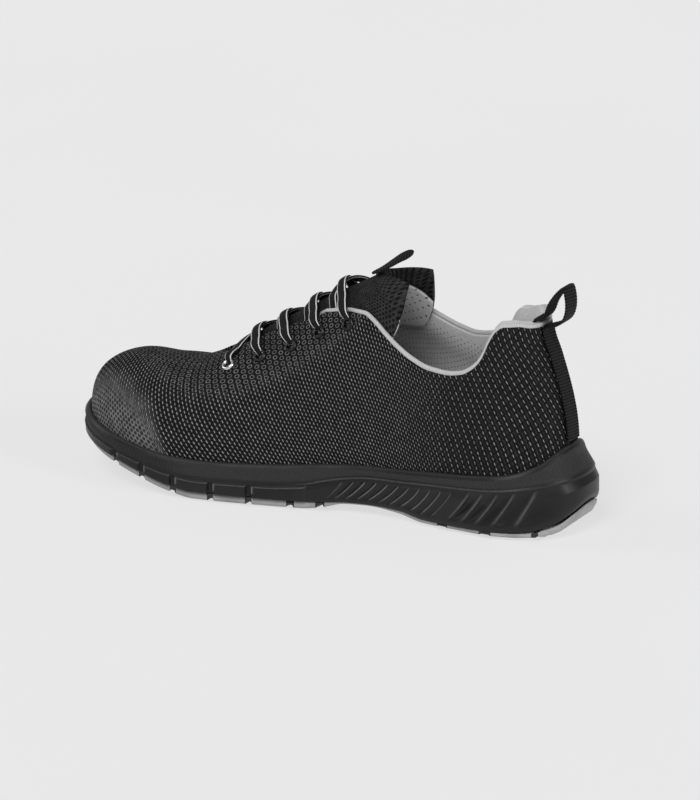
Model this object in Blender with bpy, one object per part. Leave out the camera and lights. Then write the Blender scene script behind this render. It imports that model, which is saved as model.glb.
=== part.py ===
"""Low safety sneaker, right shoe: upper, cupped midsole, treaded outsole, insole, tongue, collar
binding, heel webbing, laces and eyelets. Metres, +X to the toe, +Y to the wearer's left, +Z up."""

import bmesh
import bpy
import numpy as np
from mathutils import Vector

# Driving sizes.
LAST_LENGTH = 0.286  # from the back of the heel seat to the tip of the toe
BALL_WIDTH = 0.097
ANKLE_HEIGHT = 0.150  # top of the last, above the collar
SEAT_HEIGHT = 0.030  # feather line at the heel, above the floor
REAR = 0.0395 * LAST_LENGTH  # the heel's back point on the station scale
ORIGIN_X = 0.1993 * LAST_LENGTH  # the station of the heel tread's middle, which is the origin
HEEL_ROUND = 0.119 * LAST_LENGTH  # reach of the heel's rounding in plan
TOE_ROUND = 0.248 * LAST_LENGTH  # and of the toe's
TOE_DROP = 0.224 * LAST_LENGTH  # reach of the crest's rounding down to the toe

WALL = 0.0022  # upper: fabric, foam and lining
GAP = 0.0003  # between pieces that lie on each other
TUCK = 0.003  # how far the upper's foot turns in, inside the cup
INSOLE = 0.004
TONGUE_THIN = 0.0026
TONGUE_THICK = 0.0050
TONGUE_CLEAR = 0.0009  # between the tongue and the flaps over it
BINDING_WIDTH = 0.0027
BINDING_HEIGHT = 0.0024
LIP = 0.0022  # thickness of the cup's rim

# The last, one row for each station. Stations are shares of LAST_LENGTH, centre and half width of
# BALL_WIDTH, feather of SEAT_HEIGHT, crest of ANKLE_HEIGHT. The powers shape the section's arch.
LAST = np.array([
    # station centre  half  feather crest  across  up
    [0.000,  0.000, 0.345, 0.97, 1.000, 2.10, 2.20],
    [0.105,  0.000, 0.345, 0.95, 1.000, 2.10, 2.20],
    [0.160,  0.000, 0.345, 0.93, 0.993, 2.10, 2.20],
    [0.260, -0.015, 0.345, 0.87, 0.980, 2.25, 2.10],
    [0.335, -0.030, 0.347, 0.82, 0.933, 2.20, 2.05],
    [0.420, -0.038, 0.366, 0.77, 0.845, 2.00, 1.95],
    [0.500, -0.041, 0.410, 0.72, 0.752, 1.85, 1.85],
    [0.575, -0.031, 0.448, 0.69, 0.655, 1.75, 1.75],
    [0.630, -0.022, 0.475, 0.67, 0.593, 1.75, 1.75],
    [0.680, -0.010, 0.492, 0.65, 0.535, 1.80, 1.80],
    [0.770,  0.015, 0.500, 0.67, 0.435, 2.00, 2.10],
    [0.810,  0.027, 0.500, 0.71, 0.412, 2.05, 2.20],
    [0.860,  0.042, 0.500, 0.78, 0.410, 2.15, 2.30],
    [0.930,  0.062, 0.500, 0.95, 0.438, 2.20, 2.40],
    [1.000,  0.078, 0.500, 1.12, 0.455, 2.20, 2.40],
])

# The heel's back line: how far it leans forward at each height over the feather line.
LEAN_REACH = 0.3846 * LAST_LENGTH  # station where the lean has died out
LEAN = np.array([
    # height (share of ANKLE_HEIGHT)  forward (share of LAST_LENGTH)
    [0.00, 0.006],
    [0.12, 0.001],
    [0.18, 0.004],
    [0.26, 0.013],
    [0.34, 0.027],
    [0.42, 0.0435],
    [0.49, 0.0595],
    [0.55, 0.064],
    [0.70, 0.072],
])

# The collar's edge from the heel to the top eyelets: stations and heights over the floor.
COLLAR_FRONT = 0.5175 * LAST_LENGTH
FLAP_EASE = 0.1224 * LAST_LENGTH  # over this length the collar's width eases into the throat's
COLLAR = np.array([
    # station (share of LAST_LENGTH)  medial, lateral height (shares of ANKLE_HEIGHT)
    [0.033, 0.708, 0.708],
    [0.050, 0.716, 0.716],
    [0.072, 0.728, 0.728],
    [0.097, 0.728, 0.718],
    [0.114, 0.712, 0.706],
    [0.127, 0.680, 0.704],
    [0.141, 0.640, 0.702],
    [0.157, 0.604, 0.690],
    [0.177, 0.574, 0.650],
    [0.202, 0.552, 0.612],
    [0.235, 0.543, 0.584],
    [0.275, 0.548, 0.574],
    [0.312, 0.568, 0.588],
    [0.347, 0.600, 0.613],
    [0.379, 0.638, 0.643],
    [0.406, 0.672, 0.672],
    [0.430, 0.690, 0.690],
    [0.455, 0.690, 0.690],
    [0.518, 0.667, 0.667],
])
THROAT_END = 0.7483 * LAST_LENGTH  # front end of the throat
THROAT_HALF = 0.0115
THROAT_ROUND = 0.012

# The sole by real place along the shoe. Stations are shares of LAST_LENGTH, heights shares of
# SEAT_HEIGHT, flare a share of BALL_WIDTH.
SOLE = np.array([
    # station ground foot  floor  divide rim   flare
    [-0.030, 0.78, 0.90, 0.90, 1.12, 1.65, 0.150],
    [-0.012, 0.62, 0.74, 0.76, 1.10, 1.64, 0.150],
    [0.008, 0.34, 0.48, 0.66, 1.07, 1.62, 0.150],
    [0.032, 0.10, 0.28, 0.62, 1.04, 1.57, 0.145],
    [0.070, 0.00, 0.18, 0.60, 0.96, 1.28, 0.088],
    [0.120, 0.00, 0.16, 0.60, 0.88, 1.12, 0.056],
    [0.280, 0.00, 0.15, 0.58, 0.76, 0.96, 0.036],
    [0.330, 0.08, 0.19, 0.55, 0.72, 0.92, 0.026],
    [0.390, 0.16, 0.21, 0.52, 0.70, 0.90, 0.024],
    [0.440, 0.15, 0.20, 0.50, 0.64, 0.87, 0.030],
    [0.480, 0.05, 0.14, 0.46, 0.56, 0.84, 0.038],
    [0.518, 0.00, 0.12, 0.42, 0.47, 0.80, 0.044],
    [0.600, 0.00, 0.12, 0.37, 0.41, 0.74, 0.050],
    [0.718, 0.00, 0.12, 0.36, 0.40, 0.70, 0.050],
    [0.770, 0.09, 0.20, 0.42, 0.46, 0.72, 0.048],
    [0.840, 0.28, 0.39, 0.57, 0.61, 0.82, 0.040],
    [0.930, 0.51, 0.62, 0.79, 0.81, 1.00, 0.030],
    [1.000, 0.68, 0.78, 0.95, 0.96, 1.16, 0.020],
    [1.030, 0.78, 0.88, 1.05, 1.04, 1.22, 0.018],
])
# Gaps between the forefoot's blocks, as shares of LAST_LENGTH.
NOTCHES = [share * LAST_LENGTH for share in (0.6164, 0.6874, 0.7611, 0.8233, 0.8825)]
BLOCKS_FROM = 0.5120 * LAST_LENGTH
NOTCH = 0.0030
BLOCK_OUT = 0.0012
NOTCH_IN = 0.0012
# First and last flute at their upper ends, as shares of LAST_LENGTH, and how many.
ARCH_RIBS = (0.2238, 0.4301, 10)
HEEL_RIBS = (0.0664, 0.1713, 5)
ARCH_RIB_IN = 0.0009
HEEL_RIB_IN = 0.0018
# How far a flute's lower end lies nearer the toe than its upper end, in shares of LAST_LENGTH.
SLANT = np.array([
    # station lower end ahead by
    [0.0000, 0.0000],
    [0.0420, 0.0000],
    [0.0664, 0.0210],
    [0.1049, 0.0315],
    [0.1713, 0.0350],
    [0.2238, 0.0559],
    [0.3497, 0.0524],
    [0.4301, 0.0420],
    [0.5245, 0.0000],
    [1.0490, 0.0000],
])

TREAD_INSET = 0.0010  # outsole's outline inside the midsole's foot
TREAD_DEPTH = 0.0022
EDGE_RISE = 0.0027  # the tread's outer edge is bevelled up by this much
EDGE_SHARE = 0.80  # and starts to rise at this share of the half width
# Cross grooves of the tread: station (share of LAST_LENGTH), width.
HEEL_GROOVES = ((0.0745, 0.0016), (0.1470, 0.0056), (0.2360, 0.0056))
FORE_GROOVES = (
    (0.4850, 0.0040), (0.5403, 0.0036), (0.6164, 0.0032), (0.6874, 0.0032), (0.7611, 0.0032), (0.8233, 0.0032),
    (0.8825, 0.0032),
)
CHANNEL = 0.10  # half width of the forefoot's middle channel, as a share of the half width

# Tongue rows from its root to its top: stations of the middle and of the wings as shares of
# LAST_LENGTH, half width as a share of BALL_WIDTH, and how far it fills the throat's opening.
TONGUE = (
    # middle  wing   half    fill
    (0.7832, 0.7727, 0.1031, 1.0),
    (0.7413, 0.7203, 0.1546, 1.0),
    (0.6818, 0.6469, 0.2010, 1.0),
    (0.6119, 0.5664, 0.2371, 1.0),
    (0.5524, 0.4895, 0.2629, 0.8),
    (0.5070, 0.4266, 0.2804, 0.4),
    (0.4755, 0.3881, 0.2866, 0.1),
    (0.4528, 0.3671, 0.2701, 0.0),
    (0.4308, 0.3514, 0.2320, 0.0),
)
TAB_WIDTH = 0.012
TAB_THICK = 0.0016
# Its middle line from the tongue's top: station (share of LAST_LENGTH), height (share of ANKLE_HEIGHT).
TAB_PATH = ((0.4360, 0.8160), (0.4230, 0.8300), (0.4050, 0.8530), (0.3830, 0.8810), (0.3610, 0.9020))
TAB_ROLL = -0.45

WEBBING_WIDTH = 0.013
WEBBING_THICK = 0.0013
# Its loop over the collar, from the rear root to the front root, in the same shares.
LOOP = (
    (0.0752, 0.7173), (0.0612, 0.7307), (0.0497, 0.7507), (0.0441, 0.7853), (0.0448, 0.8267), (0.0510, 0.8593),
    (0.0647, 0.8373), (0.0780, 0.8000), (0.0860, 0.7613), (0.0944, 0.7430), (0.1056, 0.7367), (0.1120, 0.7100),
)

EYELET_OUTER = 0.0037
EYELET_BORE = 0.0019
EYELET_HEIGHT = 0.0011
# Eyelets from the toe end: station (share of LAST_LENGTH), and distance from the crest across the
# shoe (share of BALL_WIDTH).
EYELETS = ((0.6972, 0.2526), (0.6329, 0.2526), (0.5727, 0.2423), (0.5182, 0.2330), (0.4587, 0.2351))
LACE_WIDTH = 0.0060
LACE_THICK = 0.0014
LACE_BACK = (0.0063, 0.0025, 0.0025, 0.0025)  # how far behind each row a crossing starts
LACE_UNDER = 0.0035  # and how far inside the flap's edge
LACE_BEND = 2.2  # and bends to the next row's eyelet


def curve(table, column):
    """A smooth curve through a table's rows that never overshoots them."""
    at, value = np.asarray(table)[:, 0], np.asarray(table)[:, column]
    step, rise = np.diff(at), np.diff(value)
    slope = rise / step
    grade = np.zeros(len(value))
    same = slope[:-1] * slope[1:] > 0
    grade[1:-1][same] = 2 * slope[:-1][same] * slope[1:][same] / (slope[:-1] + slope[1:])[same]
    grade[0], grade[-1] = slope[0], slope[-1]

    def follow(x):
        x = min(max(x, at[0]), at[-1])
        i = min(max(int(np.searchsorted(at, x)) - 1, 0), len(step) - 1)
        t = (x - at[i]) / step[i]
        return float(
            value[i] * (1 + 2 * t) * (1 - t) ** 2
            + value[i + 1] * t * t * (3 - 2 * t)
            + step[i] * (grade[i] * t * (1 - t) ** 2 - grade[i + 1] * t * t * (1 - t))
        )

    return follow


centre_curve, half_curve, feather_curve, crest_curve, across_curve, up_curve = (curve(LAST, k) for k in range(1, 7))
lean_curve = curve(LEAN, 1)
collar_curves = {1: curve(COLLAR, 1), -1: curve(COLLAR, 2)}
ground_curve, foot_curve, floor_curve, divide_curve, rim_curve, flare_curve = (curve(SOLE, k) for k in range(1, 7))
slant_curve = curve(SLANT, 1)


def on_last(follow, size):
    return lambda x: follow(x / LAST_LENGTH) * size


centre = on_last(centre_curve, BALL_WIDTH)
feather = on_last(feather_curve, SEAT_HEIGHT)
across = on_last(across_curve, 1)
up = on_last(up_curve, 1)
ground = on_last(ground_curve, SEAT_HEIGHT)
foot = on_last(foot_curve, SEAT_HEIGHT)
floor = on_last(floor_curve, SEAT_HEIGHT)
divide = on_last(divide_curve, SEAT_HEIGHT)
rim = on_last(rim_curve, SEAT_HEIGHT)
flare = on_last(flare_curve, BALL_WIDTH)
slant = on_last(slant_curve, LAST_LENGTH)


def half(x):
    """Half width of the last, rounded off at the heel and the toe."""
    heel = min(max((x - REAR) / HEEL_ROUND, 0), 1)
    toe = min(max(1 - (LAST_LENGTH - x) / TOE_ROUND, 0), 1)
    return half_curve(x / LAST_LENGTH) * BALL_WIDTH * (1 - (1 - heel) ** 2.2) ** (1 / 2.1) * (1 - toe**2.3) ** (1 / 2.1)


def crest(x):
    toe = min(max(1 - (LAST_LENGTH - x) / TOE_DROP, 0), 1)
    return feather(x) + (crest_curve(x / LAST_LENGTH) * ANKLE_HEIGHT - feather(x)) * (1 - toe**3.4) ** (1 / 2.8)


def lean(x, z):
    share = min(max(1 - x / LEAN_REACH, 0), 1) ** 1.5
    return lean_curve((z - feather(x)) / ANKLE_HEIGHT) * LAST_LENGTH * share


def last_point(x, side, turn):
    """A point of the last: turn runs from 0 at the feather line to a quarter circle at the crest."""
    rise = np.sin(turn) ** (2 / up(x))
    out = np.cos(turn) ** (2 / across(x)) if turn < np.pi / 2 - 1e-9 else 0.0
    z = feather(x) + (crest(x) - feather(x)) * rise
    return Vector((x + lean(x, z), centre(x) + side * half(x) * out, z))


def turn_at_height(x, z):
    rise = (z - feather(x)) / max(crest(x) - feather(x), 1e-9)
    return float(np.arcsin(min(max(rise, 0), 1) ** (up(x) / 2)))


def turn_at_width(x, y):
    return float(np.arccos(min(abs(y) / max(half(x), 1e-9), 1) ** (across(x) / 2)))


def collar_height(x, side):
    return collar_curves[side](x / LAST_LENGTH) * ANKLE_HEIGHT


def edge_turn(x, side):
    """Where the upper's section ends: at the collar, at the throat's edge, or closed over the crest."""
    if x <= COLLAR_FRONT:
        return turn_at_height(x, collar_height(x, side))
    if x >= THROAT_END:
        return np.pi / 2
    start = turn_at_height(COLLAR_FRONT, collar_height(COLLAR_FRONT, side))
    start = half(COLLAR_FRONT) * np.cos(start) ** (2 / across(COLLAR_FRONT))
    share = min((x - COLLAR_FRONT) / FLAP_EASE, 1)
    width = start + (THROAT_HALF - start) * share * share * (3 - 2 * share)
    near_end = max(0.0, (x - (THROAT_END - THROAT_ROUND)) / THROAT_ROUND)
    return turn_at_width(x, width * (1 - near_end**2) ** 0.5)


def edge_width(x, side):
    return half(x) * np.cos(edge_turn(x, side)) ** (2 / across(x))


def over_last(x, y, height):
    """A point over the last's crest side, y from the centre line, and the way out from the last there."""
    turn = turn_at_width(x, y)
    side = 1 if y >= 0 else -1
    here = last_point(x, side, turn)
    along = last_point(x + 0.002, side, turn_at_width(x + 0.002, y)) - last_point(x - 0.002, side, turn_at_width(x - 0.002, y))
    left = last_point(x, 1 if y + 0.001 >= 0 else -1, turn_at_width(x, y + 0.001))
    right = last_point(x, 1 if y - 0.001 >= 0 else -1, turn_at_width(x, y - 0.001))
    out = along.cross(left - right).normalized()
    return here + out * height, out


def spread(first, last, count, ease_first=False, ease_last=False):
    """Stations between two ends, closing up towards an end that is rounded."""
    t = np.linspace(0, 1, count)
    if ease_first and ease_last:
        t = (1 - np.cos(np.pi * t)) / 2
    elif ease_first:
        t = 1 - np.cos(np.pi * t / 2)
    elif ease_last:
        t = np.sin(np.pi * t / 2)
    return list(first + (last - first) * t)


def shares(*values):
    """Stations from shares of LAST_LENGTH."""
    return [value * LAST_LENGTH for value in values]


def material(name, colour, roughness, metallic=0.0):
    made = bpy.data.materials.new(name)
    made.use_nodes = True
    shader = made.node_tree.nodes["Principled BSDF"]
    shader.inputs["Base Color"].default_value = (*colour, 1)
    shader.inputs["Roughness"].default_value = roughness
    shader.inputs["Metallic"].default_value = metallic
    return made


class Shell:
    """Collects rows of points and the faces between them, then makes one closed object of them."""

    def __init__(self):
        self.mesh = bmesh.new()

    def row(self, points):
        return [self.mesh.verts.new(point) for point in points]

    def band(self, first, second, closed=False):
        count = len(first)
        for i in range(count if closed else count - 1):
            k = (i + 1) % count
            self.mesh.faces.new((first[i], first[k], second[k], second[i]))

    def cap(self, loop):
        self.mesh.faces.new(loop)

    def finish(self, name, look):
        bmesh.ops.remove_doubles(self.mesh, verts=self.mesh.verts, dist=2e-6)
        bmesh.ops.dissolve_degenerate(self.mesh, edges=self.mesh.edges, dist=1e-7)
        bmesh.ops.recalc_face_normals(self.mesh, faces=self.mesh.faces)
        for vertex in self.mesh.verts:
            vertex.co.x -= ORIGIN_X
        data = bpy.data.meshes.new(name)
        self.mesh.to_mesh(data)
        self.mesh.free()
        data.materials.append(look)
        made = bpy.data.objects.new(name, data)
        bpy.context.scene.collection.objects.link(made)
        return made


def ring_normals(near, far):
    """Outward directions of two sides' rows of points, which share their first and last point."""
    loop = near[::-1] + far[1:-1]
    count = len(loop)
    flat = []
    for i in range(count):
        ahead = loop[(i + 1) % count] - loop[i - 1]
        flat.append(Vector((ahead.y, -ahead.x, 0)).normalized() * -1)
    middle = sum(loop, Vector()) / count
    if (loop[0] - middle).dot(flat[0]) < 0:
        flat = [-n for n in flat]
    n_near = flat[: len(near)][::-1]
    n_far = [n_near[0]] + flat[len(near):] + [n_near[-1]]
    return n_near, n_far


def plan_ring(stations, outset, height):
    """The last's outline at the feather line, moved out by outset and set at height(x), near side and far side."""
    near = [last_point(x, 1, 0) for x in stations]
    far = [last_point(x, -1, 0) for x in stations]
    moved = []
    for row, normals in zip((near, far), ring_normals(near, far)):
        moved.append([Vector((*(p + n * outset).xy, height(x))) for p, n, x in zip(row, normals, stations)])
    return moved


def strip(name, look, path, ups, width, thick, round_end=False):
    """A flat band along a path: ups gives the way out of its upper face at each point."""
    shell = Shell()
    loops = []
    for i, (point, out) in enumerate(zip(path, ups)):
        ahead = (path[min(i + 1, len(path) - 1)] - path[max(i - 1, 0)]).normalized()
        aside = ahead.cross(out).normalized()
        out = aside.cross(ahead).normalized()
        wide = width / 2
        if round_end and i == len(path) - 1:
            wide *= 0.45
        corners = ((-1, 0), (-0.8, -1), (0.8, -1), (1, 0), (0.8, 1), (-0.8, 1))
        loops.append(shell.row([point + aside * (a * wide) + out * (b * thick / 2) for a, b in corners]))
    for first, second in zip(loops, loops[1:]):
        shell.band(first, second, closed=True)
    shell.cap(loops[0])
    shell.cap(loops[-1])
    return shell.finish(name, look)


def outer_rows(stations, steps):
    """The upper's outer surface: for each side, one row of points for each step up the section."""
    foot_rows = [
        plan_ring(stations, -TUCK * down**2, lambda x: feather(x) + (floor(x) + GAP - feather(x)) * down)
        for down in (1.0, 0.55)
    ]
    sides = []
    for k, side in enumerate((1, -1)):
        rows = [ring[k] for ring in foot_rows]
        for step in range(steps + 1):
            rows.append([last_point(x, side, edge_turn(x, side) * (step / steps)) for x in stations])
        sides.append(rows)
    return sides


def surface_normals(sides):
    """Outward normals of both sides' rows, taken around the shoe and up the section."""
    found = []
    for s, rows in enumerate(sides):
        other = sides[1 - s]
        sign = 1 if s == 0 else -1
        normals = []
        for j, row in enumerate(rows):
            line = []
            for i, point in enumerate(row):
                before = row[i - 1] if i else other[j][1]
                after = row[i + 1] if i < len(row) - 1 else other[j][-2]
                around = after - before
                rise = rows[min(j + 1, len(rows) - 1)][i] - rows[max(j - 1, 0)][i]
                if rise.length < 1e-6:
                    rise = Vector((0, 0, 1))
                normal = around.cross(rise) * -sign
                line.append(normal.normalized() if normal.length > 1e-12 else Vector((1, 0, 0)))
            normals.append(line)
        found.append(normals)
    for j in range(len(found[0])):
        for i in range(len(found[0][j])):
            if (sides[0][j][i] - sides[1][j][i]).length < 1e-6:
                both = (found[0][j][i] + found[1][j][i]).normalized()
                both.y = 0
                found[0][j][i] = found[1][j][i] = both.normalized()
    return found


def upper_stations():
    return (
        spread(REAR, *shares(0.1503), 11, ease_first=True)
        + spread(*shares(0.1678, 0.3776), 10)
        + spread(*shares(0.3986), COLLAR_FRONT, 6)
        + spread(*shares(0.5420, 0.7063), 6)
        + shares(0.7238, 0.7378, 0.7455) + [THROAT_END]
        + spread(*shares(0.7762, 1), 12, ease_last=True)
    )


def build_upper(look):
    stations = upper_stations()
    outer = outer_rows(stations, 7)
    normals = surface_normals(outer)
    shell = Shell()
    for side in (0, 1):
        inner = []
        for j, row in enumerate(outer[side]):
            line = []
            for i, point in enumerate(row):
                inside = point - normals[side][j][i] * WALL
                if j == 0:
                    inside.z = point.z
                line.append(inside)
            inner.append(line)
        out_rows = [shell.row(row) for row in outer[side]]
        in_rows = [shell.row(row) for row in inner]
        for first, second in zip(out_rows, out_rows[1:]):
            shell.band(first, second)
        for first, second in zip(in_rows, in_rows[1:]):
            shell.band(second, first)
        shell.band(in_rows[0], out_rows[0])
        last_open = stations.index(THROAT_END)
        shell.band(out_rows[-1][: last_open + 1], in_rows[-1][: last_open + 1])
    return shell.finish("upper", look)


def build_binding(look):
    """A light strip on the edge of the collar, round the heel and up to the top eyelets."""
    stations = [x for x in upper_stations() if x <= COLLAR_FRONT] + shares(0.5297)
    edge = {}
    for side in (1, -1):
        edge[side] = []
        for x in stations:
            turn = edge_turn(x, side)
            here = last_point(x, side, turn)
            rise = (here - last_point(x, side, turn - 0.05)).normalized()
            edge[side].append((here, rise))
    ends = [[p for p, _ in edge[1]], [p for p, _ in edge[-1]]]
    flat_near, flat_far = ring_normals(ends[0], ends[1])
    flat = {1: flat_near, -1: flat_far}
    path = []
    for side, order in ((1, range(len(stations) - 1, -1, -1)), (-1, range(1, len(stations)))):
        for i in order:
            here, rise = edge[side][i]
            row = edge[side]
            if 0 < i < len(stations) - 1:
                along = row[i + 1][0] - row[i - 1][0]
            elif i == 0:
                along = Vector((0, side, 0))
            else:
                along = row[i][0] - row[i - 1][0]
            out = along.cross(rise).normalized()
            if i and out.y * side < 0:
                out = -out
            if i == 0:
                out = Vector((-1, 0, rise.x / max(rise.z, 1e-6))).normalized()
                rise = Vector((rise.x, 0, rise.z)).normalized()
            path.append((here - out * (WALL / 2) + rise * (GAP + BINDING_HEIGHT / 2), out, rise))
    shell = Shell()
    loops = []
    for point, out, rise in path:
        corners = ((-1, -1), (1, -1), (1, 0.3), (0.55, 1), (-0.55, 1), (-1, 0.3))
        loops.append(shell.row([point + out * (a * BINDING_WIDTH / 2) + rise * (b * BINDING_HEIGHT / 2) for a, b in corners]))
    for first, second in zip(loops, loops[1:]):
        shell.band(first, second, closed=True)
    shell.cap(loops[0])
    shell.cap(loops[-1])
    return shell.finish("collar_binding", look)


def rib_places():
    places = []
    for first, last, count in (HEEL_RIBS, ARCH_RIBS):
        places += list(np.linspace(*shares(first, last), count))
    return places


def sole_columns():
    """Stations of the midsole's columns: rounded ends, two for each flute, four for each notch."""
    columns = spread(REAR, *shares(0.0594), 6, ease_first=True)
    ribs = rib_places()
    for i, x in enumerate(ribs):
        columns.append(x)
        columns.append((x + ribs[i + 1]) / 2 if i + 1 < len(ribs) else x + 0.0105 * LAST_LENGTH)
    columns += shares(0.4685, 0.5035, 0.5200, 0.5360, 0.5600, 0.5880)
    for x in NOTCHES:
        columns += [x - NOTCH / 2 - 0.0004, x - NOTCH / 2 + 0.0008, x + NOTCH / 2 - 0.0008, x + NOTCH / 2 + 0.0004]
    columns += [(x + after) / 2 for x, after in zip(NOTCHES, NOTCHES[1:])]
    columns += shares(0.9090) + spread(*shares(0.9336, 1), 8, ease_last=True)
    columns.sort()
    return columns


def relief(x):
    """How far the lower band of the sidewall stands out at a column."""
    if x > BLOCKS_FROM:
        return -NOTCH_IN if any(abs(x - notch) < NOTCH / 2 for notch in NOTCHES) else BLOCK_OUT
    ribs = rib_places()
    if any(abs(x - rib) < 1e-6 for rib in ribs[: HEEL_RIBS[2]]):
        return -HEEL_RIB_IN
    if any(abs(x - rib) < 1e-6 for rib in ribs[HEEL_RIBS[2]:]):
        return -ARCH_RIB_IN
    return 0.0


def sole_rings(columns):
    """The midsole's closed loops, from the cup's floor over the rim and down to the foot."""
    rings = {}
    inside = {
        "bottom": plan_ring(columns, GAP - TUCK, floor),
        "seat": plan_ring(columns, GAP - TUCK * 0.3, lambda x: feather(x) + (floor(x) - feather(x)) * 0.55),
        "feather": plan_ring(columns, GAP, feather),
    }
    mouths = []
    for side in (1, -1):
        mouth = [last_point(x, side, min(turn_at_height(x, rim(x)), 0.45)) for x in columns]
        mouths.append([Vector((p.x, p.y, rim(x))) for p, x in zip(mouth, columns)])
    mouth_normals = ring_normals(*mouths)
    inside["lip_in"] = [[p + n * GAP for p, n in zip(row, normals)] for row, normals in zip(mouths, mouth_normals)]
    for name, (near, far) in inside.items():
        rings[name, 1], rings[name, -1] = near, far
    plan = ring_normals([last_point(x, 1, 0) for x in columns], [last_point(x, -1, 0) for x in columns])
    levels = ("lip_top", "lip_side", "belt", "shelf", "ledge", "high", "low", "foot")
    for side, normals in zip((1, -1), plan):
        for name in levels:
            rings[name, side] = []
        for i, x in enumerate(columns):
            slid = x + slant(x)
            mouth = rings["lip_in", side][i]
            root = last_point(x, side, 0)
            out = normals[i]
            fore = min(max((x / LAST_LENGTH - 0.49) / 0.07, 0), 1)
            rear = min(max(1 - (x / LAST_LENGTH - 0.04) / 0.06, 0), 1)
            top, split = rim(x), divide(x)
            wide = flare(x)
            swell = lambda share: LIP + 0.0012 + (wide - LIP - 0.0012) * share
            stand = relief(x)
            rings["lip_top", side].append(Vector((*(mouth + out * LIP).xy, top - 0.0003)))
            rings["lip_side", side].append(Vector((*(mouth + out * (LIP + 0.0008)).xy, top - 0.0016)))
            rings["belt", side].append(Vector((*(root + out * swell(0.24 + 0.06 * rear)).xy, top + (split - top) * 0.45)))
            shelf = swell(0.62 + 0.16 * rear)
            rings["shelf", side].append(Vector((*(root + out * shelf).xy, split + 0.0004)))
            ledge = shelf - 0.0006 * (1 - fore) * (1 - rear) + max(stand, 0) * fore * 0.3
            rings["ledge", side].append(Vector((*(root + out * ledge).xy, split - 0.0004)))
            for name, down, share in (("high", 0.28, 0.82 + 0.20 * rear), ("low", 0.78, 0.98 + 0.04 * rear), ("foot", 1.0, 1.0 - 0.05 * rear)):
                place = x + (slid - x) * down
                under = last_point(place, side, 0)
                bottom = foot(under.x + out.x * wide)
                z = split - 0.0004 + (bottom - split + 0.0004) * down
                reach = LIP + 0.0012 + (flare(place) - LIP - 0.0012) * share
                if name == "foot":
                    reach += min(stand, 0) * fore - 0.0004
                else:
                    reach += stand
                rings[name, side].append(Vector((*(under + out * reach).xy, z)))
    return rings


def build_midsole(look):
    columns = sole_columns()
    rings = sole_rings(columns)
    order = ("bottom", "seat", "feather", "lip_in", "lip_top", "lip_side", "belt", "shelf", "ledge", "high", "low", "foot")
    shell = Shell()
    made = {}
    for name in order:
        for side in (1, -1):
            made[name, side] = shell.row(rings[name, side])
    for first, second in zip(order, order[1:]):
        shell.band(made[first, 1], made[second, 1])
        shell.band(made[second, -1], made[first, -1])
    shell.band(made["bottom", -1], made["bottom", 1])
    shell.band(made["foot", 1], made["foot", -1])
    return shell.finish("midsole", look)


def tread_columns():
    columns = spread(REAR, *shares(0.0630), 6, ease_first=True)
    for share, width in HEEL_GROOVES + FORE_GROOVES:
        x, reach = share * LAST_LENGTH, width / 2
        columns += [x - reach, x - reach + 0.0005, x + reach - 0.0005, x + reach]
    columns += shares(0.1050, 0.1900, 0.2797, 0.3147, 0.3497, 0.3881, 0.4266, 0.4615, 0.5105)
    columns += shares(0.5625, 0.5880, 0.6520, 0.7240, 0.7920, 0.8530, 0.9090)
    columns += spread(*shares(0.9301, 1), 8, ease_last=True)
    columns.sort()
    return columns


def build_outsole(look):
    """A sheet under the midsole with cross grooves under heel and forefoot and a middle channel."""
    columns = tread_columns()
    near = [last_point(x, 1, 0) for x in columns]
    far = [last_point(x, -1, 0) for x in columns]
    n_near, n_far = ring_normals(near, far)
    shares = (-1, -EDGE_SHARE, -CHANNEL - 0.02, -CHANNEL, CHANNEL, CHANNEL + 0.02, EDGE_SHARE, 1)
    shell = Shell()
    tops, bottoms = [], []
    for i, x in enumerate(columns):
        reach = flare(x) - TREAD_INSET
        left, right = near[i] + n_near[i] * reach, far[i] + n_far[i] * reach
        groove = any(abs(x - share * LAST_LENGTH) < width / 2 - 0.0002 for share, width in HEEL_GROOVES + FORE_GROOVES)
        top, bottom = [], []
        for share in shares:
            place = right.lerp(left, (1 + share) / 2)
            sheet = foot(place.x) - GAP
            low = ground(place.x)
            thick = sheet - low
            cut = min(TREAD_DEPTH, max(thick - 0.0012, 0))
            z = low
            if groove or (abs(share) <= CHANNEL and x > 0.507 * LAST_LENGTH):
                z = low + cut
            if abs(share) == 1:
                z = max(z, low + min(EDGE_RISE, thick * 0.5))
            if abs(share) == 1:
                top.append(Vector((place.x, place.y, sheet)))
            bottom.append(Vector((place.x, place.y, z)))
        tops.append(shell.row(top))
        bottoms.append(shell.row(bottom))
    for rows in (tops, bottoms):
        for first, second in zip(rows, rows[1:]):
            shell.band(first, second)
    for k in (0, -1):
        shell.band([row[k] for row in tops], [row[k] for row in bottoms])
    return shell.finish("outsole", look)


def build_insole(look):
    columns = spread(REAR, *shares(0.1573), 8, ease_first=True) + spread(*shares(0.2098, 0.7517), 12) + spread(*shares(0.7972, 1), 8, ease_last=True)
    inset = TUCK + WALL + 2 * GAP
    shell = Shell()
    low_near, low_far, high_near, high_far = (
        shell.row(row) for lift in (GAP, GAP + INSOLE) for row in plan_ring(columns, -inset, lambda x: floor(x) + lift)
    )
    shell.band(low_near, low_far)
    shell.band(high_near, high_far)
    shell.band(low_near, high_near)
    shell.band(low_far, high_far)
    return shell.finish("insole", look)


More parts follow.
